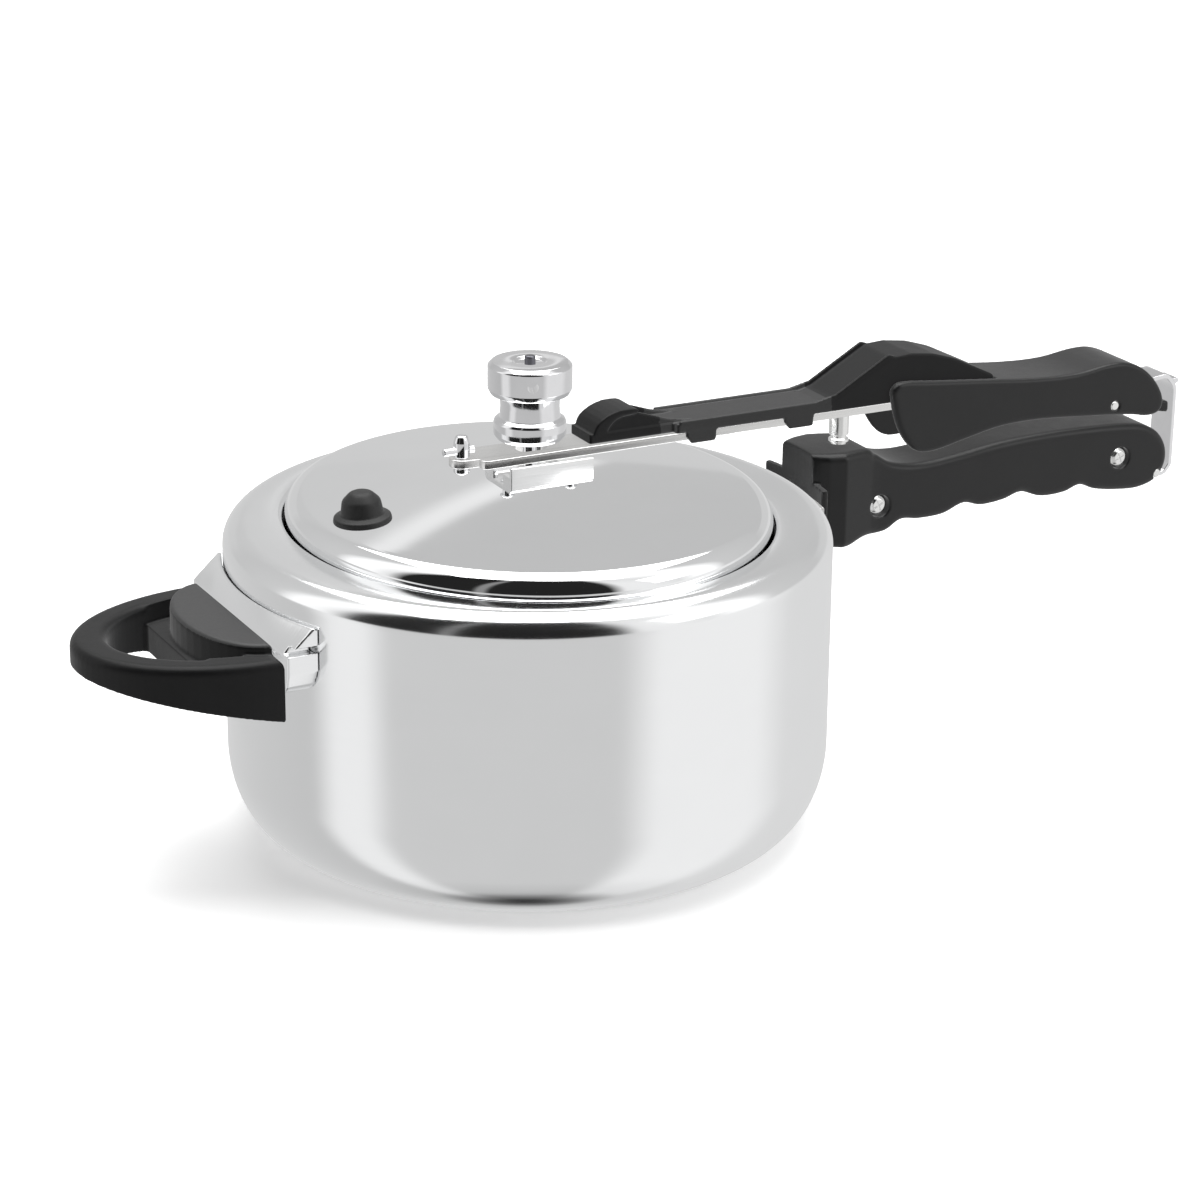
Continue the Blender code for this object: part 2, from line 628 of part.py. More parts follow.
def make_level_stud():
    """The stud at the bar's free end that keeps the lid level, with its cross pin."""
    profile = [(0, 134.0), (1.6, 133.7), (2.5, 132.8), (2.7, 131.8), (2.7, BAR_Z[1] + 0.3),
               (2.0, BAR_Z[1] + 0.3)]
    profile += [(2.0, BAR_Z[0] - 0.3), (2.7, BAR_Z[0] - 0.3), (2.7, 121.6), (1.8, 120.8), (0, 120.8)]
    stud = place(turned("level_stud", profile, chrome(), steps=16), (STUD_X, 0, 0))
    hole = tube_cutter("stud_pin_hole", 1.55, -12, 12, 10)
    cut(stud, place(hole, (STUD_X, 0, 128.8), (0, math.pi / 2, 0)))
    pin = [(0, 4.4), (1.25, 4.4), (1.25, -6.2), (0.9, -6.6), (0, -6.6)]
    place(turned("stud_cross_pin", pin, chrome(), steps=12), (STUD_X, 0, 128.8), (0, math.pi / 2, 0))


def make_bar_cover():
    """The cover on the bar: a curved shield on a narrow nose, a low strip, and a ramp up to the grip."""
    half, nose_half = 9.7, 7.0
    low, strip_top = BAR_Z[1] + GAP, 130.0
    outline = [(50.0, low), (174.0, low), (174.2, 131.6), (167.0, 135.6), (158.0, 139.4), (149.0, 142.0),
               (140.0, 143.2), (134.0, 143.0), (130.6, 142.0), (110.5, 131.0), (108.0, strip_top),
               (50.0, strip_top)]
    cover = plate("bar_cover", [outline], -half, half, plastic(), plane="XZ", rounding=0.7)
    nose = [(19.0, low), (52.0, low), (52.0, strip_top), (19.0, strip_top)]
    join(cover, plate("nose", [nose], -nose_half, nose_half, plane="XZ", rounding=0.4))
    shield = [(22.0, 127.6), (20.8, 128.6), (20.6, 130.6), (22.0, 133.2), (25.6, 135.6), (30.4, 137.0),
              (35.4, 136.9), (37.0, 136.0), (35.4, 135.2), (31.0, 134.9), (27.6, 133.4), (25.4, 130.6),
              (25.2, 127.6)]
    join(cover, plate("shield", [shield[::-1]], -nose_half, nose_half, plane="XZ", rounding=0.4))
    gusset = [(22.0, 128.4), (60.0, 128.4), (60.0, 129.6), (48.0, 131.6), (36.5, 135.4), (31.0, 135.9),
              (25.0, 132.6)]
    for side in (-1, 1):
        edge = sorted((side * 4.6, side * 6.4))
        join(cover, plate("gusset_%d" % side, [gusset], *edge, plane="XZ"), solver="MANIFOLD")
        for i, x in enumerate((53.6, 91.0)):
            clip = [(x + 2.0, 122.9), (x + 11.0, 122.9), (x + 11.4, 128.4), (x, 128.4), (x, 125.4)]
            edge = sorted((side * (BAR_HALF_W + GAP), side * (half - 0.05)))
            join(cover, plate("clip_%d_%d" % (side, i), [clip], *edge, plane="XZ"))
    cavity = block("fulcrum_cavity", (112.3, -5.8, 120.0), (124.0, 5.8, 131.2))
    cut(cover, cavity)


def upper_handle_outline():
    return smooth([
        (131.4, 130.0), (132.6, 133.2), (136.5, 134.3), (150.0, 132.9), (170.0, 130.9), (186.0, 129.2),
        (199.0, 128.4),
        (209.0, 129.6), (219.0, 130.9), (229.0, 130.2), (237.0, 127.0), (243.0, 121.8), (246.6, 116.4),
        (247.0, 112.4), (244.6, 109.4), (239.0, 109.0), (230.0, 110.4), (213.0, 112.0), (192.0, 113.6),
        (176.0, 113.2),
        (161.0, 110.4), (150.0, 108.2), (143.0, 108.7), (138.0, 112.6), (133.8, 120.0)])


def make_upper_handle():
    handle = plate("upper_handle", [upper_handle_outline()], -UPPER_HALF_W, UPPER_HALF_W,
                   plastic(), plane="XZ", rounding=2.0)
    inner = 10.0
    front = block("front_opening", (120.0, -inner, 100.0), (174.8, inner, 150.0))
    under_web = block("web_opening", (174.0, -inner, 100.0), (201.0, inner, 118.0))
    rear = block("rear_opening", (200.6, -inner, 100.0), (241.5, inner, 123.0))
    tang = block("tang_slot", (170.0, -BAR_HALF_W - GAP, BAR_Z[0] - GAP),
                 (BAR_END_X + 0.2, BAR_HALF_W + GAP, BAR_Z[1] + GAP))
    ledge = block("latch_ledge", (242.6, -7.0, 118.2), (255.0, 7.0, 130.0))
    nib = plate("handle_nib", [[(240.0, 112.0), (240.0, 109.0), (252.0, 106.6), (252.6, 107.4),
                                (252.4, 110.6)]],
                -5.0, 5.0, plane="XZ")
    join(handle, nib)
    cut(handle, front, under_web, rear, tang, ledge)
    pin_hole = along_y(tube_cutter("handle_pin_hole", 1.8, -20, 20, 12), *HANDLE_PIN)
    cut(handle, pin_hole)
    for i, x in enumerate(HANDLE_SCREWS_X):
        hole = place(tube_cutter("handle_screw_hole_%d" % i, 2.0, 110.0, 127.6, 12), (x, 0, 0))
        cut(handle, hole, solver="MANIFOLD")
        profile = [(0, 127.3), (1.7, 127.3), (1.7, 117.6), (3.4, 117.6), (3.4, 116.4), (2.2, 115.6),
                   (0, 115.6)]
        place(turned("handle_screw_%d" % (i + 1), profile, steel(), steps=12), (x, 0, 0))
    pin = [(0, 12.5), (1.5, 12.5), (1.5, -12.5), (0, -12.5)]
    along_y(turned("handle_pin", pin, steel(), steps=12), *HANDLE_PIN)


def make_catch_plate():
    """A steel strip on the handle pin that stiffens the end the latch holds."""
    x, z = HANDLE_PIN
    eye = arc((x, z), (3.3, 3.3), 40, 320, 10)
    tail = [(x + 4.6, z - 1.0), (240.6, z + 1.4), (240.6, z + 3.4), (x + 4.6, z + 1.2)]
    strip = plate("catch_plate", [eye + tail], -7.5, 7.5, steel(), plane="XZ")
    cut(strip, along_y(tube_cutter("catch_pin_hole", 1.8, -20, 20, 12), x, z))


# ---------------------------------------------------------------- latch

def make_latch():
    x, z = LATCH_X, LATCH_Z
    path = [(x + 2.2, z - 1.0), (x + 5.0, z - 1.8), (x + 7.4, z - 0.4), (x + 8.6, z + 3.0),
            (x + 8.7, z + 15.0),
            (x + 8.7, z + 27.0), (x + 8.0, z + 31.2), (x + 5.4, z + 33.8), (x + 2.2, z + 34.3),
            (x - 1.0, z + 33.9)]
    strap = plate("latch_strap", [band(path, 1.6)], -6.0, 6.0, chrome(), plane="XZ")
    eye = tube_cutter("latch_eye", 3.1, -6.0, 6.0, 16)
    tab = [(x + 8.2, z + 29.6), (x + 11.6, z + 31.0), (x + 11.2, z + 32.6), (x + 7.2, z + 32.4)]
    join(strap, along_y(eye, x, z), plate("thumb_tab", [tab], -4.0, 4.0, plane="XZ"))
    cut(strap, along_y(tube_cutter("latch_eye_hole", 1.9, -20, 20, 12), x, z))
    pin = [(0, 10.2), (1.5, 10.2), (1.5, -10.2), (0, -10.2)]
    along_y(turned("latch_pin", pin, steel(), steps=12), x, z)


# ---------------------------------------------------------------- assembly

def pivot(name, location, names, parent=None):
    """An empty on a joint's axis that carries the joint's moving pieces."""
    empty = bpy.data.objects.new(name, None)
    model.objects.link(empty)
    empty.location = mm(location)
    empty.empty_display_size = mm(10)
    if parent:
        empty.parent = parent
        empty.location = mm(location) - parent.matrix_world.translation
    bpy.context.view_layer.update()
    for part_name in names:
        part = bpy.data.objects[part_name]
        part.parent = empty
        part.matrix_parent_inverse = empty.matrix_world.inverted()
    return empty


def main():
    global model, cutters
    for obj in list(bpy.data.objects):
        bpy.data.objects.remove(obj)
    model = bpy.data.collections.new("pressure_cooker")
    cutters = bpy.data.collections.new("cutters")
    bpy.context.scene.collection.children.link(model)
    bpy.context.scene.collection.children.link(cutters)

    make_pot()
    make_rivets()
    make_handle_bracket()
    make_lower_handle()
    make_handle_screws()
    make_fulcrum()
    make_helper_bracket()
    make_helper_handle()
    make_lid()
    make_gasket()
    make_lid_bracket()
    make_vent()
    make_safety_valve()
    make_weight()
    make_lever_bar()
    make_level_stud()
    make_bar_cover()
    make_upper_handle()
    make_catch_plate()
    make_latch()

    bpy.context.view_layer.update()
    lever = pivot("lever_axis", (FULCRUM_X, 0, FULCRUM_Z),
                  ["lever_bar", "level_stud", "stud_cross_pin", "bar_cover", "upper_handle", "handle_pin",
                   "catch_plate", "handle_screw_1", "handle_screw_2"])
    lid = pivot("lid_axis", (LINK_X, 0, LINK_Z),
                ["lid", "lid_gasket", "lid_bracket", "lid_rivet_1", "lid_rivet_2", "link_pin", "vent_pipe",
                 "vent_nut", "safety_valve"], lever)
    pivot("weight_axis", (VENT_X, 0, 128.6), ["weight_body", "weight_stem"], lid)
    pivot("latch_axis", (LATCH_X, 0, LATCH_Z), ["latch_strap"])


main()
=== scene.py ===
"""The looks of an inner-lid pressure cooker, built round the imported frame.

Sizes are in millimetres; mm() turns them into metres. Each piece stands where its CAD node stands.
"""
import math

import bmesh
import bpy
from mathutils import Euler, Matrix, Vector


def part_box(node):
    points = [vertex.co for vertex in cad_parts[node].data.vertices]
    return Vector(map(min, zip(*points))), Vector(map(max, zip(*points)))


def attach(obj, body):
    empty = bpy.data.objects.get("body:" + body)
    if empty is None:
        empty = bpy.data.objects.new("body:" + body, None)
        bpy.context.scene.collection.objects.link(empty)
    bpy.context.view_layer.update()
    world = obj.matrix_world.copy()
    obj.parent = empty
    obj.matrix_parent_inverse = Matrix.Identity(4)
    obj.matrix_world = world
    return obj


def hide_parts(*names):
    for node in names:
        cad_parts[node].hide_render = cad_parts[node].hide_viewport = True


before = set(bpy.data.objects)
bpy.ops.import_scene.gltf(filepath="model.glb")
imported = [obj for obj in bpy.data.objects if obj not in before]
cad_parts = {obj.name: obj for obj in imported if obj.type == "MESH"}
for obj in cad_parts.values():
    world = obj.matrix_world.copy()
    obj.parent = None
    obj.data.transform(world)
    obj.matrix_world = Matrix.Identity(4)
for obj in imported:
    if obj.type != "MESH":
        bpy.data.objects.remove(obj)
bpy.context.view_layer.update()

MM = 0.001
GAP = 0.3                     # between neighbouring pieces
ROUND = 192                   # steps round the pot, the mouth and the lid
TURNED = 64                   # steps round a small turned piece


def top_of(node):
    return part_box(node)[1].z / MM


def bottom_of(node):
    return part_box(node)[0].z / MM


def half_width_of(node):
    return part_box(node)[1].y / MM


POT_R = half_width_of("pot_body")
POT_H = top_of("pot_body")
WALL = 3.0
FLOOR = 4.0
CORNER = (18.0, 28.0)         # base rounding: inwards, upwards
SHOULDER = 8.0                # top rounding
MOUTH = (79.28, 85.8)         # half the oval mouth's sides, along X and Y
OVAL = MOUTH[0] / MOUTH[1]
LID_LONG = MOUTH[1] - 0.7     # half the lid's long side, at its upstand
LID_EDGE = 7.0
LID_TOP = POT_H + 10.2
LID_EDGE_Z = POT_H + 7.4
LID_T = 2.5
FLANGE_R = half_width_of("lid")
FLANGE_Z = bottom_of("lid") + LID_T
BAR_LOW, BAR_HIGH = 123.7, 126.5
POST_X = 118.0
VENT_X = 0.5
STUD_X = -24.0
LINK = (10.0, 120.2)
VALVE_XY = (-62.0, -7.0)
HELPER_X = -102.6


# ---------------------------------------------------------------- shader helpers

class Nodes:
    """A short way to write a node tree."""

    def __init__(self, tree):
        self.tree = tree

    def add(self, kind, **settings):
        node = self.tree.nodes.new(kind)
        for name, value in settings.items():
            setattr(node, name, value)
        return node

    def put(self, target, value):
        if hasattr(value, "is_linked"):
            self.tree.links.new(value, target)
        else:
            target.default_value = value

    def math(self, operation, a, b=0.0, c=0.0, clamp=False):
        node = self.add("ShaderNodeMath", operation=operation, use_clamp=clamp)
        for socket, value in zip(node.inputs, (a, b, c)):
            self.put(socket, value)
        return node.outputs[0]

    def dot(self, vector, direction):
        node = self.add("ShaderNodeVectorMath", operation="DOT_PRODUCT")
        self.put(node.inputs[0], vector)
        node.inputs[1].default_value = direction
        return node.outputs["Value"]

    def ramp(self, value, stops):
        """Grey levels at positions between 0 and 1, joined by straight lines."""
        node = self.add("ShaderNodeValToRGB")
        points = node.color_ramp.elements
        while len(points) < len(stops):
            points.new(0.5)
        for point, (place, level) in zip(points, stops):
            point.position = place
            point.color = (level, level, level, 1.0)
        self.put(node.inputs[0], value)
        return node.outputs[0]

    def noise(self, vector, scale, detail=3.0, roughness=0.5):
        node = self.add("ShaderNodeTexNoise")
        self.put(node.inputs["Vector"], vector)
        node.inputs["Scale"].default_value = scale
        node.inputs["Detail"].default_value = detail
        node.inputs["Roughness"].default_value = roughness
        return node.outputs[0]

    def scaled(self, vector, scale):
        node = self.add("ShaderNodeVectorMath", operation="MULTIPLY")
        self.put(node.inputs[0], vector)
        node.inputs[1].default_value = scale
        return node.outputs[0]

    def between(self, value, low, high):
        """A 0 to 1 value spread over low to high."""
        return self.math("MULTIPLY_ADD", value, high - low, low)

    def tint(self, value, dark, light):
        node = self.add("ShaderNodeMix", data_type="RGBA")
        self.put(node.inputs[0], value)
        node.inputs[6].default_value = (*dark, 1.0)
        node.inputs[7].default_value = (*light, 1.0)
        return node.outputs[2]

    def bump(self, height, strength, distance):
        node = self.add("ShaderNodeBump")
        node.inputs["Strength"].default_value = strength
        node.inputs["Distance"].default_value = distance
        self.put(node.inputs["Height"], height)
        return node.outputs[0]


def surface(name, metallic=0.0, **constants):
    """A material with its shader and its object coordinates."""
    mat = bpy.data.materials.new(name)
    mat.use_nodes = True
    shader = mat.node_tree.nodes["Principled BSDF"]
    shader.inputs["Metallic"].default_value = metallic
    for socket, value in constants.items():
        shader.inputs[socket.replace("_", " ")].default_value = value
    nodes = Nodes(mat.node_tree)
    place = nodes.add("ShaderNodeTexCoord").outputs["Object"]
    return mat, shader, nodes, place


def turning_marks(nodes, place):
    """Noise that runs in rings round the pot's axis, on a wall and on a lid alike."""
    flat = nodes.add("ShaderNodeVectorMath", operation="LENGTH")
    nodes.put(flat.inputs[0], nodes.scaled(place, (1.0, 1.0, 0.0)))
    parts = nodes.add("ShaderNodeSeparateXYZ")
    nodes.put(parts.inputs[0], place)
    rings = nodes.add("ShaderNodeCombineXYZ")
    nodes.put(rings.inputs[0], nodes.math("MULTIPLY", flat.outputs["Value"], 900.0))
    nodes.put(rings.inputs[1], nodes.math("MULTIPLY", parts.outputs[2], 900.0))
    nodes.put(rings.inputs[2], nodes.math("MULTIPLY",
                                          nodes.math("ARCTAN2", parts.outputs[1], parts.outputs[0]), 2.0))
    return nodes.noise(rings.outputs[0], 1.0, 4.0, 0.6)


def aluminium(name, roughness, marks, colour=(0.905, 0.91, 0.915)):
    """Polished aluminium with turning marks, faint smudges and a slight unevenness."""
    mat, shader, nodes, place = surface(name, 1.0)
    rings = turning_marks(nodes, place)
    cloud = nodes.noise(place, 35.0, 4.0, 0.6)
    dark = tuple(0.95 * c for c in colour)
    nodes.put(shader.inputs["Base Color"], nodes.tint(cloud, dark, colour))
    spread = nodes.math("ADD", nodes.between(rings, -0.5 * marks, 0.5 * marks),
                        nodes.between(cloud, roughness - 0.02, roughness + 0.02))
    nodes.put(shader.inputs["Roughness"], spread)
    nodes.put(shader.inputs["Normal"], nodes.bump(rings, 0.05 + marks, 0.00002))
    return mat


def brushed(name, along, roughness=0.24, colour=(0.78, 0.775, 0.765)):
    """Stainless steel with fine grinding lines along one direction."""
    mat, shader, nodes, place = surface(name, 1.0)
    stretch = tuple(60.0 if a else 2600.0 for a in along)
    lines = nodes.noise(nodes.scaled(place, stretch), 1.0, 3.0, 0.6)
    cloud = nodes.noise(place, 90.0, 3.0)
    nodes.put(shader.inputs["Base Color"], nodes.tint(lines, tuple(0.86 * c for c in colour), colour))
    nodes.put(shader.inputs["Roughness"], nodes.math("ADD", nodes.between(lines, -0.06, 0.06),
                                                     nodes.between(cloud, roughness - 0.05,
                                                                   roughness + 0.05)))
    nodes.put(shader.inputs["Normal"], nodes.bump(lines, 0.12, 0.00003))
    return mat


def chrome(name):
    """Plated steel, almost a mirror, with faint polishing haze."""
    mat, shader, nodes, place = surface(name, 1.0)
    haze = nodes.noise(place, 120.0, 4.0, 0.65)
    nodes.put(shader.inputs["Base Color"], nodes.tint(haze, (0.70, 0.70, 0.71), (0.79, 0.79, 0.80)))
    nodes.put(shader.inputs["Roughness"], nodes.between(haze, 0.03, 0.09))
    nodes.put(shader.inputs["Normal"], nodes.bump(nodes.noise(place, 380.0, 2.0), 0.03, 0.0001))
    return mat


def plastic(name, dark=(0.005, 0.005, 0.0052), light=(0.01, 0.01, 0.0104), roughness=0.36, sheen=0.36):
    """Black phenolic moulding: fine sparkle grain, slow mottling and polished patches from use."""
    mat, shader, nodes, place = surface(name, IOR=1.5, Specular_IOR_Level=sheen)
    grain = nodes.noise(place, 1500.0, 3.0, 0.6)
    mottle = nodes.noise(place, 70.0, 4.0, 0.6)
    nodes.put(shader.inputs["Base Color"], nodes.tint(mottle, dark, light))
    nodes.put(shader.inputs["Roughness"], nodes.math("ADD", nodes.between(grain, -0.05, 0.05),
                                                     nodes.between(mottle, roughness - 0.09,
                                                                   roughness + 0.09)))
    orange_peel = nodes.math("ADD", nodes.math("MULTIPLY", grain, 0.35), nodes.noise(place, 260.0, 2.0))
    nodes.put(shader.inputs["Normal"], nodes.bump(orange_peel, 0.16, 0.0002))
    return mat


def rubber(name, dark, light, roughness):
    mat, shader, nodes, place = surface(name, Specular_IOR_Level=0.35)
    dust = nodes.noise(place, 600.0, 5.0, 0.7)
    nodes.put(shader.inputs["Base Color"], nodes.tint(dust, dark, light))
    nodes.put(shader.inputs["Roughness"], nodes.between(dust, roughness - 0.1, roughness + 0.1))
    nodes.put(shader.inputs["Normal"], nodes.bump(dust, 0.15, 0.0001))
    return mat


MATERIALS = {
    "wall": aluminium("spun_aluminium", 0.15, 0.10),
    "lid": aluminium("mirror_aluminium", 0.05, 0.02),
    "fitting": aluminium("satin_aluminium", 0.2, 0.05),
    "steel_x": brushed("brushed_steel_lengthways", (1, 0, 0)),
    "steel_y": brushed("brushed_steel_crossways", (0, 1, 0)),
    "bright_steel": brushed("bright_steel", (1, 0, 0), 0.16, (0.9, 0.9, 0.9)),
    "screw": brushed("screw_steel", (1, 0, 1), 0.22, (0.85, 0.85, 0.84)),
    "dark_steel": brushed("dark_steel", (0, 0, 1), 0.3, (0.16, 0.16, 0.18)),
    "chrome": chrome("chrome_plating"),
    "plastic": plastic("black_phenolic"),
    "cover": plastic("black_phenolic_cover", roughness=0.42, sheen=0.5),
    "matt": plastic("black_phenolic_matt", (0.004, 0.004, 0.0042), (0.008, 0.008, 0.0083), 0.42, 0.2),
    # A lighter copy of the phenolic for the helper handle's upward faces: painted highlight on its top
    "thumb": plastic("black_phenolic_painted_top_light", (0.02, 0.02, 0.0204), (0.034, 0.034, 0.0345), 0.5, 0.5),
    "valve": rubber("black_valve_rubber", (0.008, 0.008, 0.008), (0.02, 0.02, 0.02), 0.5),
    "gasket": rubber("grey_gasket_rubber", (0.035, 0.035, 0.037), (0.07, 0.07, 0.073), 0.6),
}


# ---------------------------------------------------------------- mesh helpers

def mm(point):
    return Vector([v * MM for v in point])


def new_object(name, mesh):
    obj = bpy.data.objects.new(name, mesh)
    bpy.context.scene.collection.objects.link(obj)
    return obj


def shade(obj, angle=35.0):
    obj.data.shade_smooth()
    obj.data.set_sharp_from_angle(angle=math.radians(angle))
    return obj


def fillet(points, radius=0.0, closed=False, step=15.0):
    """Rounds the corners of a line. A point may give its own radius as a third number."""
    out = []
    count = len(points)
    for i, point in enumerate(points):
        own = point[2] if len(point) > 2 else radius
        corner = Vector(point[:2])
        if own <= 0.0 or (not closed and i in (0, count - 1)):
            out.append(tuple(corner))
            continue
        before = Vector(points[i - 1][:2]) - corner
        after = Vector(points[(i + 1) % count][:2]) - corner
        turn = math.pi - before.angle(after)
        if turn < 0.02:
            out.append(tuple(corner))
            continue
        reach = min(own * math.tan(turn / 2), 0.49 * before.length, 0.49 * after.length)
        own = reach / math.tan(turn / 2)
        middle = before.normalized() + after.normalized()
        centre = corner + middle.normalized() * own / math.cos(turn / 2)
        start = corner + before.normalized() * reach - centre
        end = corner + after.normalized() * reach - centre
        first = math.atan2(start.y, start.x)
        sweep = math.atan2(start.x * end.y - start.y * end.x, start.dot(end))
        steps = max(2, math.ceil(math.degrees(turn) / step))
        for k in range(steps + 1):
            a = first + sweep * k / steps
            out.append((centre.x + own * math.cos(a), centre.y + own * math.sin(a)))
    return out


def arc(centre, radii, start, end, count):
    points = []
    for i in range(count + 1):
        a = math.radians(start + (end - start) * i / count)
        points.append((centre[0] + radii[0] * math.cos(a), centre[1] + radii[1] * math.sin(a)))
    return points


def smooth(points, count=8):
    """A closed Catmull-Rom curve through the points."""
    out = []
    n = len(points)
    for i in range(n):
        p0, p1, p2, p3 = (Vector(points[(i + k - 1) % n]) for k in range(4))
        for j in range(count):
            t = j / count
            out.append(tuple(0.5 * (2 * p1 + (p2 - p0) * t + (2 * p0 - 5 * p1 + 4 * p2 - p3) * t * t
                                    + (3 * p1 - p0 - 3 * p2 + p3) * t ** 3)))
    return out


def skin(name, rings, closed=False):
    """A closed surface through rings of points. A ring of one point closes an end."""
    body = bmesh.new()
    loops = [[body.verts.new(mm(p)) for p in ring] for ring in rings]
    pairs = list(zip(loops, loops[1:]))
    if closed:
        pairs.append((loops[-1], loops[0]))
    for a, b in pairs:
        steps = max(len(a), len(b))
        for i in range(steps):
            j = (i + 1) % steps
            corners = [a[i % len(a)], a[j % len(a)], b[j % len(b)], b[i % len(b)]]
            unique = list(dict.fromkeys(corners))
            body.faces.new(unique)
    bmesh.ops.recalc_face_normals(body, faces=body.faces)
    mesh = bpy.data.meshes.new(name)
    body.to_mesh(mesh)
    body.free()
    return new_object(name, mesh)


def oval_ring(rx, ry, z, steps):
    if rx <= 0.0:
        return [(0.0, 0.0, z)]
    return [(rx * math.cos(math.tau * i / steps), ry * math.sin(math.tau * i / steps),
             z) for i in range(steps)]


def lathe(name, profile, steps=TURNED, oval=1.0, closed=False):
    """A profile of (radius, height) turned about Z, narrowed along X for the oval pieces."""
    return skin(name, [oval_ring(r * oval, r, z, steps) for r, z in profile], closed)


PLANES = {
    "XY": Matrix.Identity(4),
    "XZ": Matrix.Rotation(math.pi / 2, 4, "X"),
    "YZ": Matrix.Rotation(math.pi / 2, 4, "Z") @ Matrix.Rotation(math.pi / 2, 4, "X"),
}


def slab(name, outlines, low, high, plane="XY", edge=0.0):
    """Flat outlines extruded across their plane, with rounded rims. XZ runs along -Y and YZ along +X."""
    curve = bpy.data.curves.new(name, "CURVE")
    curve.dimensions = "2D"
    curve.fill_mode = "BOTH"
    curve.extrude = ((high - low) / 2 - edge) * MM
    curve.bevel_depth = edge * MM
    curve.bevel_resolution = 3
    curve.offset = -edge * MM
    for outline in outlines:
        spline = curve.splines.new("POLY")
        spline.points.add(len(outline) - 1)
        for point, (u, v) in zip(spline.points, outline):
            point.co = (u * MM, v * MM, 0.0, 1.0)
        spline.use_cyclic_u = True
    temp = new_object(name + "_outline", curve)
    graph = bpy.context.evaluated_depsgraph_get()
    mesh = bpy.data.meshes.new_from_object(temp.evaluated_get(graph))
    bpy.data.objects.remove(temp)
    body = bmesh.new()
    body.from_mesh(mesh)
    bmesh.ops.remove_doubles(body, verts=body.verts, dist=0.000002)
    body.to_mesh(mesh)
    body.free()
    mesh.transform(Matrix.Translation((0, 0, (high + low) / 2 * MM)))
    mesh.transform(PLANES[plane])
    return new_object(name, mesh)


def block(name, low, high):
    body = bmesh.new()
    bmesh.ops.create_cube(body, size=1.0, matrix=Matrix.Diagonal((*(mm(high) - mm(low)), 1.0)))
    mesh = bpy.data.meshes.new(name)
    body.to_mesh(mesh)
    body.free()
    mesh.transform(Matrix.Translation((mm(low) + mm(high)) / 2))
    return new_object(name, mesh)


def rod(name, radius, low, high, steps=48):
    return lathe(name, [(0, high), (radius, high), (radius, low), (0, low)], steps)


def turn(obj, location=(0, 0, 0), rotation=(0, 0, 0)):
    """Moves a piece's mesh, so that the object itself stays at the origin."""
    obj.data.transform(Matrix.Translation(mm(location)) @ Euler(rotation).to_matrix().to_4x4())
    return obj


def along_y(obj, x, z):
    return turn(obj, (x, 0, z), (math.pi / 2, 0, 0))


def radial(obj, angle, z):
    obj.data.transform(Matrix.Rotation(angle, 4, "Z") @ Matrix.Rotation(math.pi / 2, 4, "Y"))
    return turn(obj, (0, 0, z))


def bake(obj):
    """Turns an object's modifiers into its mesh."""
    graph = bpy.context.evaluated_depsgraph_get()
    mesh = bpy.data.meshes.new_from_object(obj.evaluated_get(graph))
    obj.modifiers.clear()
    obj.data = mesh
    return obj


def combine(obj, operation, others, solver):
    for other in others:
        boolean = obj.modifiers.new(other.name, "BOOLEAN")
        boolean.operation = operation
        boolean.solver = solver
        boolean.object = other
    bake(obj)
    for other in others:
        bpy.data.objects.remove(other)
    return obj


def cut(obj, *others, solver="EXACT"):
    return combine(obj, "DIFFERENCE", others, solver)


def join(obj, *others, solver="EXACT"):
    return combine(obj, "UNION", others, solver)


def split(obj, planes):
    """Divides the faces at planes of constant X, so that they can be bent."""
    body = bmesh.new()
    body.from_mesh(obj.data)
    bmesh.ops.triangulate(body, faces=body.faces)
    for x in planes:
        geometry = body.verts[:] + body.edges[:] + body.faces[:]
        bmesh.ops.bisect_plane(body, geom=geometry, dist=1e-7, plane_co=mm((x, 0, 0)), plane_no=(1, 0, 0))
    bmesh.ops.triangulate(body, faces=body.faces)
    body.to_mesh(obj.data)
    body.free()


def moulded(obj, voxel=0.45, passes=4, keep=0.5):
    """Softens every edge as a moulding's are, then thins the mesh."""
    remesh = obj.modifiers.new("Skin", "REMESH")
    remesh.mode = "VOXEL"
    remesh.voxel_size = voxel * MM
    soften = obj.modifiers.new("Soften", "SMOOTH")
    soften.factor = 0.5
    soften.iterations = passes
    thin = obj.modifiers.new("Thin", "DECIMATE")
    thin.ratio = keep
    bake(obj)
    obj.data.shade_smooth()
    return obj


def finish(obj, material, body, slot, *nodes):
    """Gives a piece its material, body and nodes. Only the pot and lid show in the metal's reflections."""
    obj.data.materials.clear()
    obj.data.materials.append(MATERIALS[material])
    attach(obj, body)
    if nodes:
        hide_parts(*nodes)
    obj.visible_glossy = slot == "polished_aluminium"
    return obj


# ---------------------------------------------------------------- pot

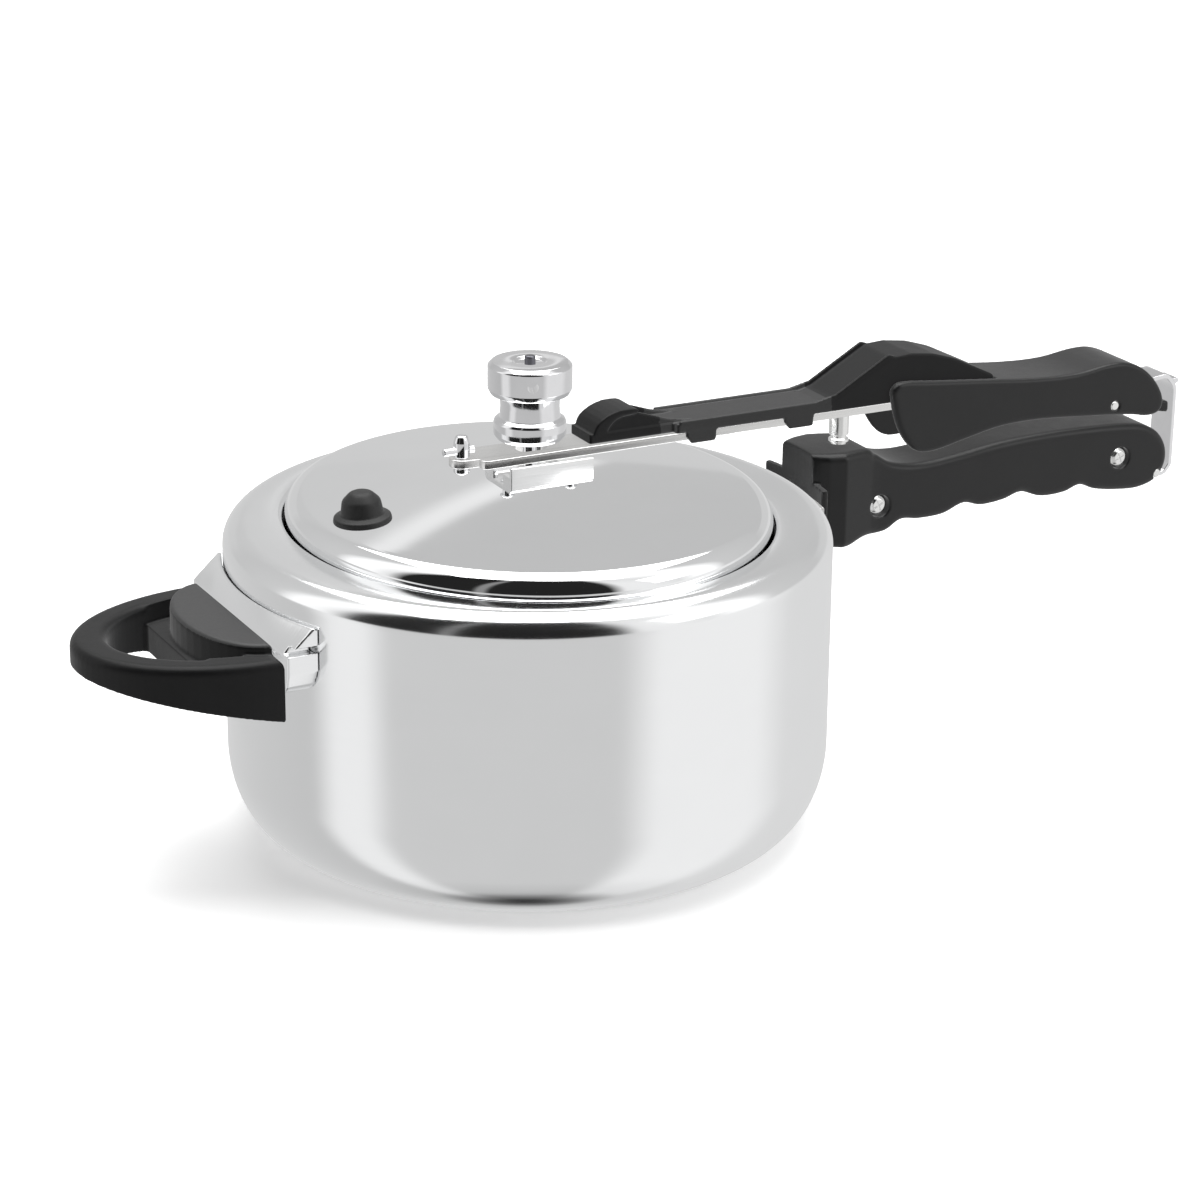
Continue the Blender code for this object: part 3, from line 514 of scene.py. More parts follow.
def make_pot():
    """A round pot whose top turns in to an oval mouth with a rounded lip."""
    rings = [(0, 0, FLOOR)]
    rings += [(r, r, z) for r, z in arc((POT_R - WALL - 17, FLOOR + 25), (17, 25), -90, 0, 14)]
    rings += [(r, r, z) for r, z in arc((POT_R - WALL - 4, POT_H - WALL - 4), (4, 4), 0, 90, 5)]
    lip = arc((WALL / 2, POT_H - WALL / 2), (WALL / 2, WALL / 2), 270, 90, 8)
    rings += [(MOUTH[0] + r, MOUTH[1] + r, z) for r, z in lip]
    rings += [(r, r, z) for r, z in arc((POT_R - SHOULDER, POT_H - SHOULDER), (SHOULDER, SHOULDER), 90, 0,
                                        12)]
    rings += [(r, r, z) for r, z in arc((POT_R - CORNER[0], CORNER[1]), CORNER, 0, -90, 20)]
    rings += [(POT_R - 19.5, POT_R - 19.5, 0.35), (POT_R - 21, POT_R - 21, 0.6), (0, 0, 0.6)]
    pot = skin("pot_shell", [oval_ring(rx, ry, z, ROUND) for rx, ry, z in rings])
    shade(pot, 40)
    finish(pot, "wall", "pot", "polished_aluminium", "pot_body")


def make_lid():
    """The lid: a domed plateau, a rolled edge, an upstand through the mouth and a hidden flange."""
    edge = LID_LONG - LID_EDGE
    low = FLANGE_Z - LID_T
    inner = LID_EDGE - LID_T
    profile = [(r, crown(r)) for r in (0, 10, 20, 30, 40, 50, 58, 65, 70, 74)]
    profile += arc((edge, LID_EDGE_Z - LID_EDGE), (LID_EDGE, LID_EDGE), 88, 0, 12)
    profile += fillet([(LID_LONG, FLANGE_Z), (FLANGE_R, FLANGE_Z, 0.8), (FLANGE_R, low, 0.8),
                       (LID_LONG - LID_T, low, 2.0), (LID_LONG - LID_T, LID_EDGE_Z - LID_EDGE)])
    profile += arc((edge, LID_EDGE_Z - LID_EDGE), (inner, inner), 10, 88, 6)
    profile += [(r, crown(r) - LID_T) for r in (70, 50, 30, 10, 0)]
    lid = lathe("lid_dome", profile, ROUND, OVAL)
    shade(lid, 45)
    finish(lid, "lid", "lid", "polished_aluminium", "lid")


def crown(r):
    """The lid's top face at radius r, measured along its long side."""
    return LID_TOP - (LID_TOP - LID_EDGE_Z) * (r / (LID_LONG - LID_EDGE)) ** 2


def make_gasket():
    low = bottom_of("lid_gasket")
    high = top_of("lid_gasket")
    inner, outer = LID_LONG + 0.4, FLANGE_R + 0.4
    profile = fillet([(inner, high), (outer, high), (outer, low), (inner, low)], 0.9, closed=True)
    gasket = lathe("gasket_ring", profile, ROUND, OVAL, closed=True)
    finish(shade(gasket, 60), "gasket", "lid", "gasket_rubber", "lid_gasket")


# ---------------------------------------------------------------- small turned pieces

HANDLE_TURN = math.asin(17.0 / POT_R)
HELPER_TURN = math.asin(24.0 / POT_R)
RIVETS = [                    # name, angle round the pot, height, outer end
    ("handle_rivet_1", -HANDLE_TURN, 84.0, 101.9),
    ("handle_rivet_2", HANDLE_TURN, 84.0, 101.9),
    ("handle_rivet_3", -HANDLE_TURN, 93.0, 101.9),
    ("handle_rivet_4", HANDLE_TURN, 93.0, 101.9),
    ("helper_rivet_1", math.pi - HELPER_TURN, 79.0, 104.6),
    ("helper_rivet_2", math.pi + HELPER_TURN, 79.0, 104.6),
]
LID_UNDER = LID_TOP - LID_T
SEAT = LID_TOP + 0.4 + 1.8    # the bracket's inner floor
SCREWS_XZ = ((128.6, 91.0), (228.5, 94.3))
LATCH = (245.5, 86.0)
HANDLE_PIN = (223.8, 114.6)
BRACKET_RIVETS_X = (-7.6, 15.5)
HANDLE_SCREWS_X = (181.0, 193.0)


def small(node, obj, material, body, slot, angle=32):
    """Names, shades and hands over a small piece that stands for one node."""
    obj.name = "fine_" + node
    finish(shade(obj, angle), material, body, slot, node)


def make_rivets():
    """Rivets with a domed head inside the pot."""
    inside = POT_R - WALL - GAP
    for node, angle, z, end in RIVETS:
        profile = fillet([(0, end), (2.3, end, 0.3), (2.3, inside), (4.2, inside, 0.2),
                          (4.0, inside - 0.9, 0.8), (2.4, inside - 1.8, 1.5), (0, inside - 1.8)])
        small(node, radial(lathe(node, profile, 32), angle, z), "fitting", "pot", "polished_aluminium")


def make_handle_screws():
    """Pan-head screws with a cross recess, and their nuts on the far side."""
    for (x, z), name in zip(SCREWS_XZ, ("front", "rear")):
        profile = fillet([(0, 10.5), (2.2, 10.5, 0.8), (3.1, 9.4, 0.7), (3.1, 8.3, 0.15), (1.9, 8.3),
                          (1.9, -10.2), (0, -10.2)])
        screw = lathe(name, profile, 48)
        for k in range(2):
            arm = block("arm_%d" % k, (-1.9, -0.35, 9.4), (1.9, 0.35, 12.0))
            cut(screw, turn(arm, rotation=(0, 0, math.radians(25 + 90 * k))))
        small(name + "_screw", along_y(screw, x, z), "screw", "pot", "stainless_steel")
        nut = slab(name, [fillet(hexagon(3.7), 0.3, True), arc((0, 0), (2.2, 2.2), 0, 350, 35)], -9.9, -7.3,
                   edge=0.25)
        small(name + "_nut", along_y(nut, x, z), "screw", "pot", "stainless_steel")


def hexagon(radius):
    return arc((0, 0), (radius, radius), 0, 300, 5)


def make_post():
    top = BAR_LOW - 0.7
    profile = fillet([(0, 130.0), (1.8, 130.0, 0.5), (1.9, top), (3.0, top, 0.3), (3.45, top - 0.7, 0.4),
                      (3.45, 115.4, 0.3), (2.7, 115.0), (2.7, 114.2), (3.45, 113.8, 0.3), (3.45, 112.8, 0.2),
                      (2.5, 112.8), (2.5, 96.0), (0, 96.0)])
    small("fulcrum_post", turn(lathe("post", profile), (POST_X, 0, 0)), "screw", "pot", "stainless_steel")
    nut = fillet([(2.1, 129.9), (3.2, 129.9, 0.2), (4.0, 129.2, 0.3), (4.0, 127.6, 0.2), (2.1, 127.6)])
    small("fulcrum_nut", turn(lathe("nut", nut, closed=True), (POST_X, 0, 0)), "screw", "pot",
          "stainless_steel")


def make_pins():
    """Plain pins across the handles and the bracket, with chamfered ends."""
    for node, (x, z), radius, half, body in (("link_pin", LINK, 1.5, 9.1, "lid"),
                                             ("latch_pin", LATCH, 1.5, 10.2, "pot"),
                                             ("handle_pin", HANDLE_PIN, 1.5, 12.5, "lever")):
        profile = fillet([(0, half), (radius, half, 0.35), (radius, -half, 0.35), (0, -half)])
        small(node, along_y(lathe(node, profile, 40), x, z), "screw", body, "stainless_steel")


def make_hidden_screws():
    """The screws that hold the upper handle to the bar and the helper handle to its tongue."""
    for i, x in enumerate(HANDLE_SCREWS_X):
        profile = fillet([(0, 127.3), (1.7, 127.3, 0.3), (1.7, 117.6), (3.4, 117.6, 0.2), (3.4, 116.4, 0.6),
                          (2.0, 115.6, 1.0),
                          (0, 115.6)])
        screw = turn(lathe("screw", profile, 40), (x, 0, 0))
        small("handle_screw_%d" % (i + 1), screw, "screw", "lever", "stainless_steel")
    profile = fillet([(0, 78.6), (1.9, 78.6, 0.3), (1.9, 67.2), (3.5, 67.2, 0.2), (3.5, 65.8, 0.7),
                      (2.2, 65.0, 1.0), (0, 65.0)])
    small("helper_screw", turn(lathe("screw", profile, 40), (-108.5, 0, 0)), "screw", "pot",
          "stainless_steel")


def make_vent():
    under = LID_UNDER - 0.4
    pipe = [(1.0, 136.2), (1.4, 136.2, 0.1), (2.3, 133.4, 0.6), (2.4, under), (4.2, under, 0.2),
            (4.2, under - 1.8, 0.3), (3.4, under - 2.6, 0.3), (1.0, under - 2.6)]
    small("vent_pipe", turn(lathe("pipe", fillet(pipe), closed=True), (VENT_X, 0, 0)), "chrome", "lid",
          "chrome_plate")
    outlines = [fillet(hexagon(4.6), 0.3, True), arc((0, 0), (2.8, 2.8), 0, 350, 35)]
    nut = slab("nut", outlines, SEAT + 0.3, SEAT + 3.7, edge=0.3)
    small("vent_nut", turn(nut, (VENT_X, 0, 0)), "screw", "lid", "stainless_steel")
    for i, x in enumerate(BRACKET_RIVETS_X):
        low = LID_UNDER - 0.5
        profile = fillet([(0, SEAT + 1.5), (1.6, SEAT + 1.3, 1.2), (2.8, SEAT + 0.3, 0.2), (1.6, SEAT + 0.3),
                          (1.6, low), (3.0, low, 0.2), (2.0, low - 1.1, 0.8), (0, low - 1.4)])
        rivet = turn(lathe("rivet", profile, 40), (x, 0, 0))
        small("lid_rivet_%d" % (i + 1), rivet, "fitting", "lid", "polished_aluminium")


def make_safety_valve():
    """A rubber plug with a rounded dome, standing square on the lid's slope."""
    reach = math.hypot(VALVE_XY[0] / OVAL, VALVE_XY[1])
    tilt = -math.atan((crown(reach) - crown(reach + 1.0)) / OVAL)
    under = -LID_T - 0.4
    profile = fillet([(0, 10.6), (3.4, 10.4, 3.0), (6.2, 7.6, 2.5), (6.9, 3.2, 0.8), (9.2, 2.4, 0.7),
                      (9.5, 0.5, 0.5), (3.7, 0.5), (3.7, under), (5.6, under, 0.5), (5.2, under - 2.4, 1.0),
                      (2.6, under - 4.0, 1.0), (0, under - 4.0)])
    valve = turn(lathe("valve", profile, 72), (*VALVE_XY, crown(reach)), (0, tilt, 0))
    small("safety_valve", valve, "valve", "lid", "black_rubber", 60)


def make_weight():
    """The lift-off weight: a cap with steam holes, a neck and a ring, and a steel pin on top."""
    profile = fillet([(0, 151.0), (2.1, 151.0), (2.1, 155.0, 0.4), (4.8, 155.0, 0.3), (5.6, 155.9, 0.5),
                      (12.4, 155.9, 0.4), (13.8, 154.6, 0.9), (13.8, 147.0, 0.6), (12.9, 145.2, 0.5),
                      (9.9, 144.6, 0.5), (9.7, 141.0, 4.0), (9.9, 137.2, 0.4), (11.4, 136.6, 0.4),
                      (11.9, 135.8, 0.4), (11.9, 131.6, 0.8), (10.8, 130.0, 0.6), (6.0, 128.6, 0.5),
                      (3.2, 128.6, 0.2), (3.2, 134.0), (1.9, 136.8), (0, 137.4)])
    weight = lathe("weight", profile, 112)
    for i in range(3):
        hole = turn(rod("hole", 1.8, 7.0, 16.0), (0, 0, 150.6),
                    (0, math.pi / 2, math.radians(-112 + 120 * i)))
        cut(weight, hole)
    small("weight_body", turn(weight, (VENT_X, 0, 0)), "chrome", "weight", "chrome_plate")
    stem = fillet([(0, 157.6), (1.8, 157.6, 0.6), (1.8, 151.4), (0, 151.4)])
    small("weight_stem", turn(lathe("stem", stem, 40), (VENT_X, 0, 0)), "dark_steel", "weight",
          "stainless_steel")


def make_stud():
    """The stud at the bar's tip, with a cross pin through it."""
    low, high = BAR_LOW, BAR_HIGH
    profile = fillet([(0, 134.0), (2.0, 134.0, 1.2), (2.7, 131.6, 1.0), (2.7, high + 0.3, 0.3),
                      (2.0, high + 0.3), (2.0, low - 0.3), (2.7, low - 0.3, 0.3), (2.7, 121.6, 0.5),
                      (1.6, 120.8, 0.5), (0, 120.8)])
    stud = cut(lathe("stud", profile), turn(rod("hole", 1.55, -12, 12), (0, 0, 128.8), (0, math.pi / 2, 0)))
    small("level_stud", turn(stud, (STUD_X, 0, 0)), "chrome", "lever", "chrome_plate")
    pin = fillet([(0, 4.4), (1.25, 4.4, 0.3), (1.25, -6.6, 0.4), (0, -6.6)])
    pin = turn(lathe("pin", pin, 40), (STUD_X, 0, 128.8), (0, math.pi / 2, 0))
    small("stud_cross_pin", pin, "chrome", "lever", "chrome_plate")


# ---------------------------------------------------------------- sheet metal

def make_lever_bar():
    """A flat bar with a rounded tip, a slot for the vent pipe and two lugs for the link pin."""
    tip = arc((STUD_X, 0), (4.2, 4.2), 100, 260, 16)
    outline = [(-18.0, 8.0), (-19.2, 7.4), (-19.8, 6.2), (-19.8, 4.4)] + tip
    outline += [(-19.8, -4.4), (-19.8, -6.2), (-19.2, -7.4), (-18.0, -8.0), (200.0, -8.0), (200.0, 8.0)]
    bar = slab("bar", [outline[::-1]], BAR_LOW, BAR_HIGH, edge=0.35)
    for side in (-1, 1):
        foot = arc((LINK[0], LINK[1]), (3.3, 3.3), 180, 360, 16)
        lug = [(LINK[0] + 3.3, BAR_LOW + 0.8), (LINK[0] - 3.3, BAR_LOW + 0.8)] + foot
        join(bar, slab("lug", [lug], *sorted((side * 5.6, side * 7.6)), "XZ"))
    slot = slab("slot", [fillet([(-4.5, -3.9), (6.0, -3.9), (6.0, 3.9), (-4.5, 3.9)], 2.5, True)], 120.0,
                130.0)
    hole = slab("hole", [fillet([(-2.9, -2.4), (2.9, -2.4), (2.9, 2.4), (-2.9, 2.4)], 1.2, True)], 120.0,
                130.0)
    cut(bar, slot, turn(hole, (POST_X, 0, 0)), turn(rod("stud_hole", 2.3, 120, 130), (STUD_X, 0, 0)),
        along_y(rod("pin_hole", 1.8, -15, 15), *LINK))
    for x in HANDLE_SCREWS_X:
        cut(bar, turn(rod("screw_hole", 2.0, 120, 130), (x, 0, 0)))
    small("lever_bar", bar, "steel_x", "lever", "stainless_steel")


def make_lid_bracket():
    """A bright folded channel with flanges at its open end."""
    base, top, outer, t = LID_TOP + 0.4, BAR_LOW - 0.3, 9.9, 1.5
    outline = fillet([(-outer, base, 2.0), (outer, base, 2.0), (outer, top, 0.5), (outer - t, top, 0.5),
                      (outer - t, base + 1.8, 0.6), (t - outer, base + 1.8, 0.6), (t - outer, top, 0.5),
                      (-outer, top, 0.5)],
                     closed=True)
    bracket = slab("bracket", [outline], -11.0, 19.0, "YZ", edge=0.25)
    for side in (-1, 1):
        y0, y1 = sorted((side * 3.6, side * 9.0))
        join(bracket, block("flange", (-11.0, y0, base + 0.5), (-9.4, y1, 120.0)))
    cut(bracket, turn(rod("vent_hole", 2.8, 110, 120), (VENT_X, 0, 0)),
        along_y(rod("pin_hole", 1.8, -9.3, 9.3), *LINK))
    for x in BRACKET_RIVETS_X:
        cut(bracket, turn(rod("rivet_hole", 1.9, 110, 120), (x, 0, 0)))
    small("lid_bracket", bracket, "bright_steel", "lid", "stainless_steel")


def strip(path, thickness):
    """The outline of a strip of even thickness along a path."""
    left, right = [], []
    for i, point in enumerate(path):
        before = Vector(path[max(i - 1, 0)])
        after = Vector(path[min(i + 1, len(path) - 1)])
        direction = (after - before).normalized()
        offset = Vector((-direction.y, direction.x)) * thickness / 2
        left.append(tuple(Vector(point) + offset))
        right.append(tuple(Vector(point) - offset))
    return left + right[::-1]


def make_latch():
    """A chrome strap that swings on its pin and hooks over the upper handle's end."""
    x, z = LATCH
    path = fillet([(x + 2.2, z - 1.0), (x + 5.6, z - 2.4, 3.0), (x + 8.6, z + 1.0, 3.0), (x + 8.7, z + 16.0),
                   (x + 8.7, z + 30.4, 6.0), (x + 5.0, z + 34.6, 3.0), (x - 1.0, z + 33.9)], step=8.0)
    strap = slab("strap", [strip(path, 1.6)], -6.0, 6.0, "XZ", edge=0.3)
    tab = fillet([(x + 8.2, z + 29.6), (x + 11.6, z + 31.0, 0.6), (x + 11.2, z + 32.6, 0.6),
                  (x + 7.2, z + 32.4)], closed=True)
    join(strap, along_y(rod("eye", 3.1, -6.0, 6.0), x, z), slab("tab", [tab], -4.0, 4.0, "XZ", edge=0.2))
    cut(strap, along_y(rod("eye_hole", 1.9, -20, 20), x, z))
    small("latch_strap", strap, "chrome", "latch", "chrome_plate")


def make_catch_plate():
    """A strip on the handle pin, under the end that the latch holds."""
    x, z = HANDLE_PIN
    eye = arc((x, z), (3.3, 3.3), 40, 320, 24)
    tail = [(x + 4.6, z - 1.0), (240.6, z + 1.4), (240.6, z + 3.4), (x + 4.6, z + 1.2)]
    plate = slab("plate", [eye + tail], -7.5, 7.5, "XZ", edge=0.25)
    cut(plate, along_y(rod("hole", 1.8, -20, 20), x, z))
    small("catch_plate", plate, "steel_y", "lever", "stainless_steel")


def sector(r_in, r_out, half_width, count=40):
    half = math.degrees(math.asin(half_width / r_in))
    return arc((0, 0), (r_out, r_out), -half, half, count) + arc((0, 0), (r_in, r_in), half, -half, count)


def make_handle_bracket():
    """A plate against the pot with a rib inside the lower handle and a boss for the post."""
    r_in = POT_R + 0.3
    bracket = slab("bracket", [sector(r_in, r_in + 1.8, 22.0)], 78.0, 98.0, edge=0.4)
    join(bracket, block("rib", (101.2, -1.5, 84.0), (140.0, 1.5, 97.0)),
         turn(rod("boss", 4.6, 84.5, 103.0), (POST_X, 0, 0)), solver="MANIFOLD")
    x, z = SCREWS_XZ[0]
    cut(bracket, turn(rod("bore", 2.8, 95, 106), (POST_X, 0, 0)),
        along_y(rod("screw_hole", 2.3, -6, 6), x, z), solver="MANIFOLD")
    small("handle_bracket", bracket, "steel_y", "pot", "stainless_steel")


def make_helper_bracket():
    """A cast saddle between the round wall and the helper handle, its top sloping down to the handle."""
    half, count, depth = 40.0, 60, 8.0
    out_x = HELPER_X + 0.3
    rings = []
    for i in range(count + 1):
        y = -half + 2 * half * i / count
        corner = max(0.0, abs(y) - (half - depth))
        low = 70.0 + depth - math.sqrt(depth ** 2 - corner ** 2)
        wall_x = -math.sqrt((POT_R + 0.3) ** 2 - y * y)
        rings.append([(out_x, y, low), (wall_x, y, low), (wall_x, y, 91.6), (wall_x - 1.0, y, 92.4),
                      (out_x, y, 84.0)])
    body = bmesh.new()
    loops = [[body.verts.new(mm(p)) for p in ring] for ring in rings]
    for a, b in zip(loops, loops[1:]):
        for j in range(5):
            k = (j + 1) % 5
            body.faces.new((a[j], b[j], b[k], a[k]))
    body.faces.new(loops[0])
    body.faces.new(loops[-1][::-1])
    bmesh.ops.triangulate(body, faces=body.faces)
    bmesh.ops.recalc_face_normals(body, faces=body.faces)
    mesh = bpy.data.meshes.new("saddle")
    body.to_mesh(mesh)
    body.free()
    saddle = new_object("saddle", mesh)
    join(saddle, block("tongue", (-114.0, -11.0, 72.0), (-101.2, 11.0, 75.0)), solver="MANIFOLD")
    cut(saddle, turn(rod("tongue_hole", 2.3, 70, 78), (-108.5, 0, 0)), solver="MANIFOLD")
    cut(saddle, block("slot", (-104.0, -43.0, 84.0), (-84.0, -36.5, 86.4)), solver="MANIFOLD")
    moulded(saddle, 0.4, 5, 0.5)
    small("helper_bracket", saddle, "fitting", "pot", "polished_aluminium", 180)


# ---------------------------------------------------------------- plastic mouldings

def make_upper_handle():
    """The moving grip: two skirts that close over the bar, rounded all along."""
    half = 12.8
    outline = smooth(UPPER_OUTLINE)
    grip = slab("grip", [outline], -half, half, "XZ", edge=1.6)
    inner = 10.0
    nib = slab("nib", [[(240.0, 112.0), (240.0, 109.0), (252.0, 106.6), (252.6, 107.4), (252.4, 110.6)]],
               -5.0, 5.0, "XZ")
    join(grip, nib, solver="MANIFOLD")
    cut(grip, block("front", (120.0, -inner, 100.0), (174.8, inner, 150.0)),
        block("web", (174.0, -inner, 100.0), (201.0, inner, 118.0)),
        block("rear", (200.6, -inner, 100.0), (241.5, inner, 123.0)),
        block("tang", (170.0, -8.3, BAR_LOW - 0.3), (200.2, 8.3, BAR_HIGH + 0.3)),
        block("ledge", (242.6, -7.0, 118.2), (255.0, 7.0, 130.0)),
        along_y(rod("pin", 1.8, -20, 20), *HANDLE_PIN), solver="MANIFOLD")
    for x in HANDLE_SCREWS_X:
        cut(grip, turn(rod("screw", 2.0, 110, 127.6), (x, 0, 0)), solver="MANIFOLD")
    moulded(grip, 0.42, 5, 0.45)
    small("upper_handle", grip, "plastic", "lever", "black_plastic", 180)


UPPER_OUTLINE = [
    (131.4, 130.0), (132.6, 133.2), (136.5, 134.3), (150.0, 132.9), (170.0, 130.9), (186.0, 129.2),
    (199.0, 128.4), (209.0, 128.6), (219.0, 129.9), (227.0, 129.9), (234.5, 127.2), (240.2, 122.4),
    (243.8, 117.0), (244.6, 112.8), (242.8, 109.8), (238.0, 109.0), (230.0, 110.4), (213.0, 112.0),
    (192.0, 113.6), (176.0, 113.2), (161.0, 110.4), (150.0, 108.2), (143.0, 108.7), (138.0, 112.6),
    (133.8, 120.0)]
LOWER_OUTLINE = [
    (88.0, 104.0), (90.0, 109.5), (96.0, 112.2), (121.0, 112.2), (127.0, 109.6), (134.0, 105.6),
    (145.0, 103.9), (160.0, 104.9), (178.0, 107.0), (203.0, 107.6), (232.0, 106.2), (243.0, 103.0),
    (248.4, 97.0), (249.2, 90.0), (245.5, 84.0), (238.0, 81.6), (229.0, 82.0), (219.5, 83.6), (212.5, 86.2),
    (205.5, 84.4), (196.0, 84.4), (187.5, 87.2), (180.0, 85.4), (171.0, 84.8), (163.5, 86.6), (155.0, 83.9),
    (145.5, 83.6), (138.0, 84.4), (131.5, 81.2), (122.5, 80.6), (115.0, 78.6), (107.0, 79.4), (97.0, 79.8),
    (90.0, 82.5), (88.0, 88.0)]


def make_lower_handle():
    """The fixed grip, with finger grooves below and a wide head against the pot."""
    half = 11.6
    grip = slab("grip", [smooth(LOWER_OUTLINE, 6)], -half, half, "XZ", edge=2.6)
    split(grip, range(92, 250, 3))
    for vertex in grip.data.vertices:
        x = vertex.co.x / MM
        head = 3.2 * max(0.0, 1.0 - abs(x - 113.0) / 13.0)
        slim = 0.7 * max(0.0, (x - 150.0) / 100.0)
        pinch = 3.0 * max(0.0, (106.0 - x) / 7.0)
        vertex.co.y *= (half + head - slim - pinch) / half
    wall = POT_R + 2.4
    join(grip, slab("flange", [sector(wall - 1.0, wall + 2.2, 19.0)], 82.0, 102.5), solver="MANIFOLD")
    cut(grip, rod("wall", wall, 60, 130, 256), block("rib", (90.0, -1.9, 83.5), (140.5, 1.9, 97.4)),
        turn(rod("boss", 5.0, 83.9, 103.4), (POST_X, 0, 0)), turn(rod("stud", 2.9, 100, 120), (POST_X, 0, 0)),
        solver="MANIFOLD")
    for x, z in SCREWS_XZ:
        cut(grip, along_y(rod("hole", 2.2, -20, 20), x, z), along_y(rod("near", 4.0, 8.0, 20.0), x, z),
            along_y(rod("far", 4.2, -20.0, -7.0), x, z), solver="MANIFOLD")
    cut(grip, block("latch", (235.5, -6.5, 70.0), (262.0, 6.5, 91.5)),
        along_y(rod("pin", 1.8, -20, 20), *LATCH),
        solver="MANIFOLD")
    moulded(grip, 0.42, 5, 0.45)
    small("lower_handle", grip, "plastic", "pot", "black_plastic", 180)


def make_bar_cover():
    """The cover on the bar: a shield towards the weight, a low strip, and a ramp up to the grip."""
    half, nose_half = 9.7, 7.0
    low, strip_top = BAR_HIGH + 0.3, 130.0
    outline = fillet([(50.0, low), (174.0, low), (174.2, 131.6, 2.0), (158.0, 139.4, 20.0),
                      (149.0, 142.2, 10.0), (140.0, 143.4, 5.0), (132.0, 143.0, 3.0), (110.5, 131.0, 6.0),
                      (106.0, strip_top), (50.0, strip_top)], closed=True)
    cover = slab("cover", [outline], -half, half, "XZ", edge=0.7)
    nose = [(19.0, low), (52.0, low), (52.0, strip_top), (19.0, strip_top)]
    join(cover, slab("nose", [nose], -nose_half, nose_half, "XZ", edge=0.4), solver="MANIFOLD")
    shield = smooth([(22.0, 127.6), (20.8, 128.6), (20.6, 130.6), (22.0, 133.2), (25.6, 135.6), (30.4, 137.0),
                     (35.4, 136.9), (37.0, 136.0), (35.4, 135.2), (31.0, 134.9), (27.6, 133.4), (25.4, 130.6),
                     (25.2, 127.6)], 2)
    join(cover, slab("shield", [shield[::-1]], -nose_half, nose_half, "XZ", edge=0.25), solver="MANIFOLD")
    gusset = [(22.0, 128.4), (60.0, 128.4), (60.0, 129.6), (48.0, 131.6), (36.5, 135.4), (31.0, 135.9),
              (25.0, 132.6)]
    for side in (-1, 1):
        join(cover, slab("gusset", [gusset], *sorted((side * 4.6, side * 6.4)), "XZ"), solver="MANIFOLD")
        for x in (53.6, 91.0):
            clip = fillet([(x + 2.0, 122.9), (x + 11.0, 122.9, 1.0), (x + 11.4, 128.4), (x, 128.4),
                           (x, 125.4)], closed=True)
            join(cover, slab("clip", [clip], *sorted((side * 8.3, side * (half - 0.05))), "XZ"),
                 solver="MANIFOLD")
        rib = [(51.0, 129.0), (104.0, 129.0), (112.0, 131.6), (133.0, 143.4), (131.0, 143.9), (111.0, 132.6),
               (103.0, 130.9), (51.0, 130.9)]
        join(cover, slab("rib", [rib[::-1]], *sorted((side * 8.2, side * (half - 0.1))), "XZ"),
             solver="MANIFOLD")
    cut(cover, block("cavity", (112.3, -5.8, 120.0), (124.0, 5.8, 131.2)), solver="MANIFOLD")
    moulded(cover, 0.38, 3, 0.45)
    small("bar_cover", cover, "cover", "lever", "black_plastic", 180)
    cover.data.materials.append(MATERIALS["matt"])
    for face in cover.data.polygons:
        if face.center.x > 109.0 * MM or face.center.x < 45.0 * MM:
            face.material_index = 1


def helper_loop(reach, half_width, x_limit, count=48):
    points = []
    for i in range(count + 1):
        a = math.radians(-90 + 180 * i / count)
        x = HELPER_X - reach * math.cos(a)
        if x <= x_limit + 0.001:
            points.append((x, half_width * math.sin(a)))
    return points


def make_helper_handle():
    """A D-shaped loop with a thumb plate on top and an underside that rises outwards."""
    outer = helper_loop(54.4, 39.0, HELPER_X)
    first, *middle, last = helper_loop(42.4, 30.0, -121.5)
    inner = fillet([(*first, 1.5), *middle, (*last, 1.5)], closed=True)
    handle = slab("loop", [outer, inner], 60.0, top_of("helper_handle") - 4.0, edge=2.8)
    groove = helper_loop(42.4, 30.0, -107.0)
    cut(handle, slab("groove", [groove], 76.5, 95.0), solver="MANIFOLD")
    thumb = [(HELPER_X - 1.2 - 18.0 * math.cos(a), 32.0 * math.sin(a))
             for a in [math.radians(-90 + 180 * i / 22) for i in range(23)]]
    join(handle, slab("thumb", [thumb], 74.0, 86.2, edge=1.6), solver="MANIFOLD")
    slope = turn(block("slope", (-90.0, -60.0, -30.0), (90.0, 60.0, 0.0)), (-128.0, 0, 68.2),
                 (0, math.radians(13.0), 0))
    cut(handle, slope, block("tongue", (-114.4, -11.4, 71.6), (-90.0, 11.4, 75.4)),
        turn(rod("screw", 2.2, 50, 79), (-108.5, 0, 0)), turn(rod("recess", 4.0, 50, 67.5), (-108.5, 0, 0)),
        solver="MANIFOLD")
    moulded(handle, 0.45, 5, 0.45)
    small("helper_handle", handle, "matt", "pot", "black_plastic", 180)
    # Faces that look upwards above z 84 get the lighter phenolic copy, a painted highlight on the top
    handle.data.materials.append(MATERIALS["thumb"])
    for face in handle.data.polygons:
        if face.center.z > 84.0 * MM and face.normal.z > 0.4:
            face.material_index = 1


# ---------------------------------------------------------------- studio

VIEW_AZIMUTH = math.radians(27.566)
VIEW_ELEVATION = math.radians(20.066)
VIEW_ROLL = math.radians(0.57)
VIEW_DISTANCE = 1.15689       # metres, from the point the camera aims at
AIM_SIDE, AIM_HEIGHT = 0.02378, 0.07391


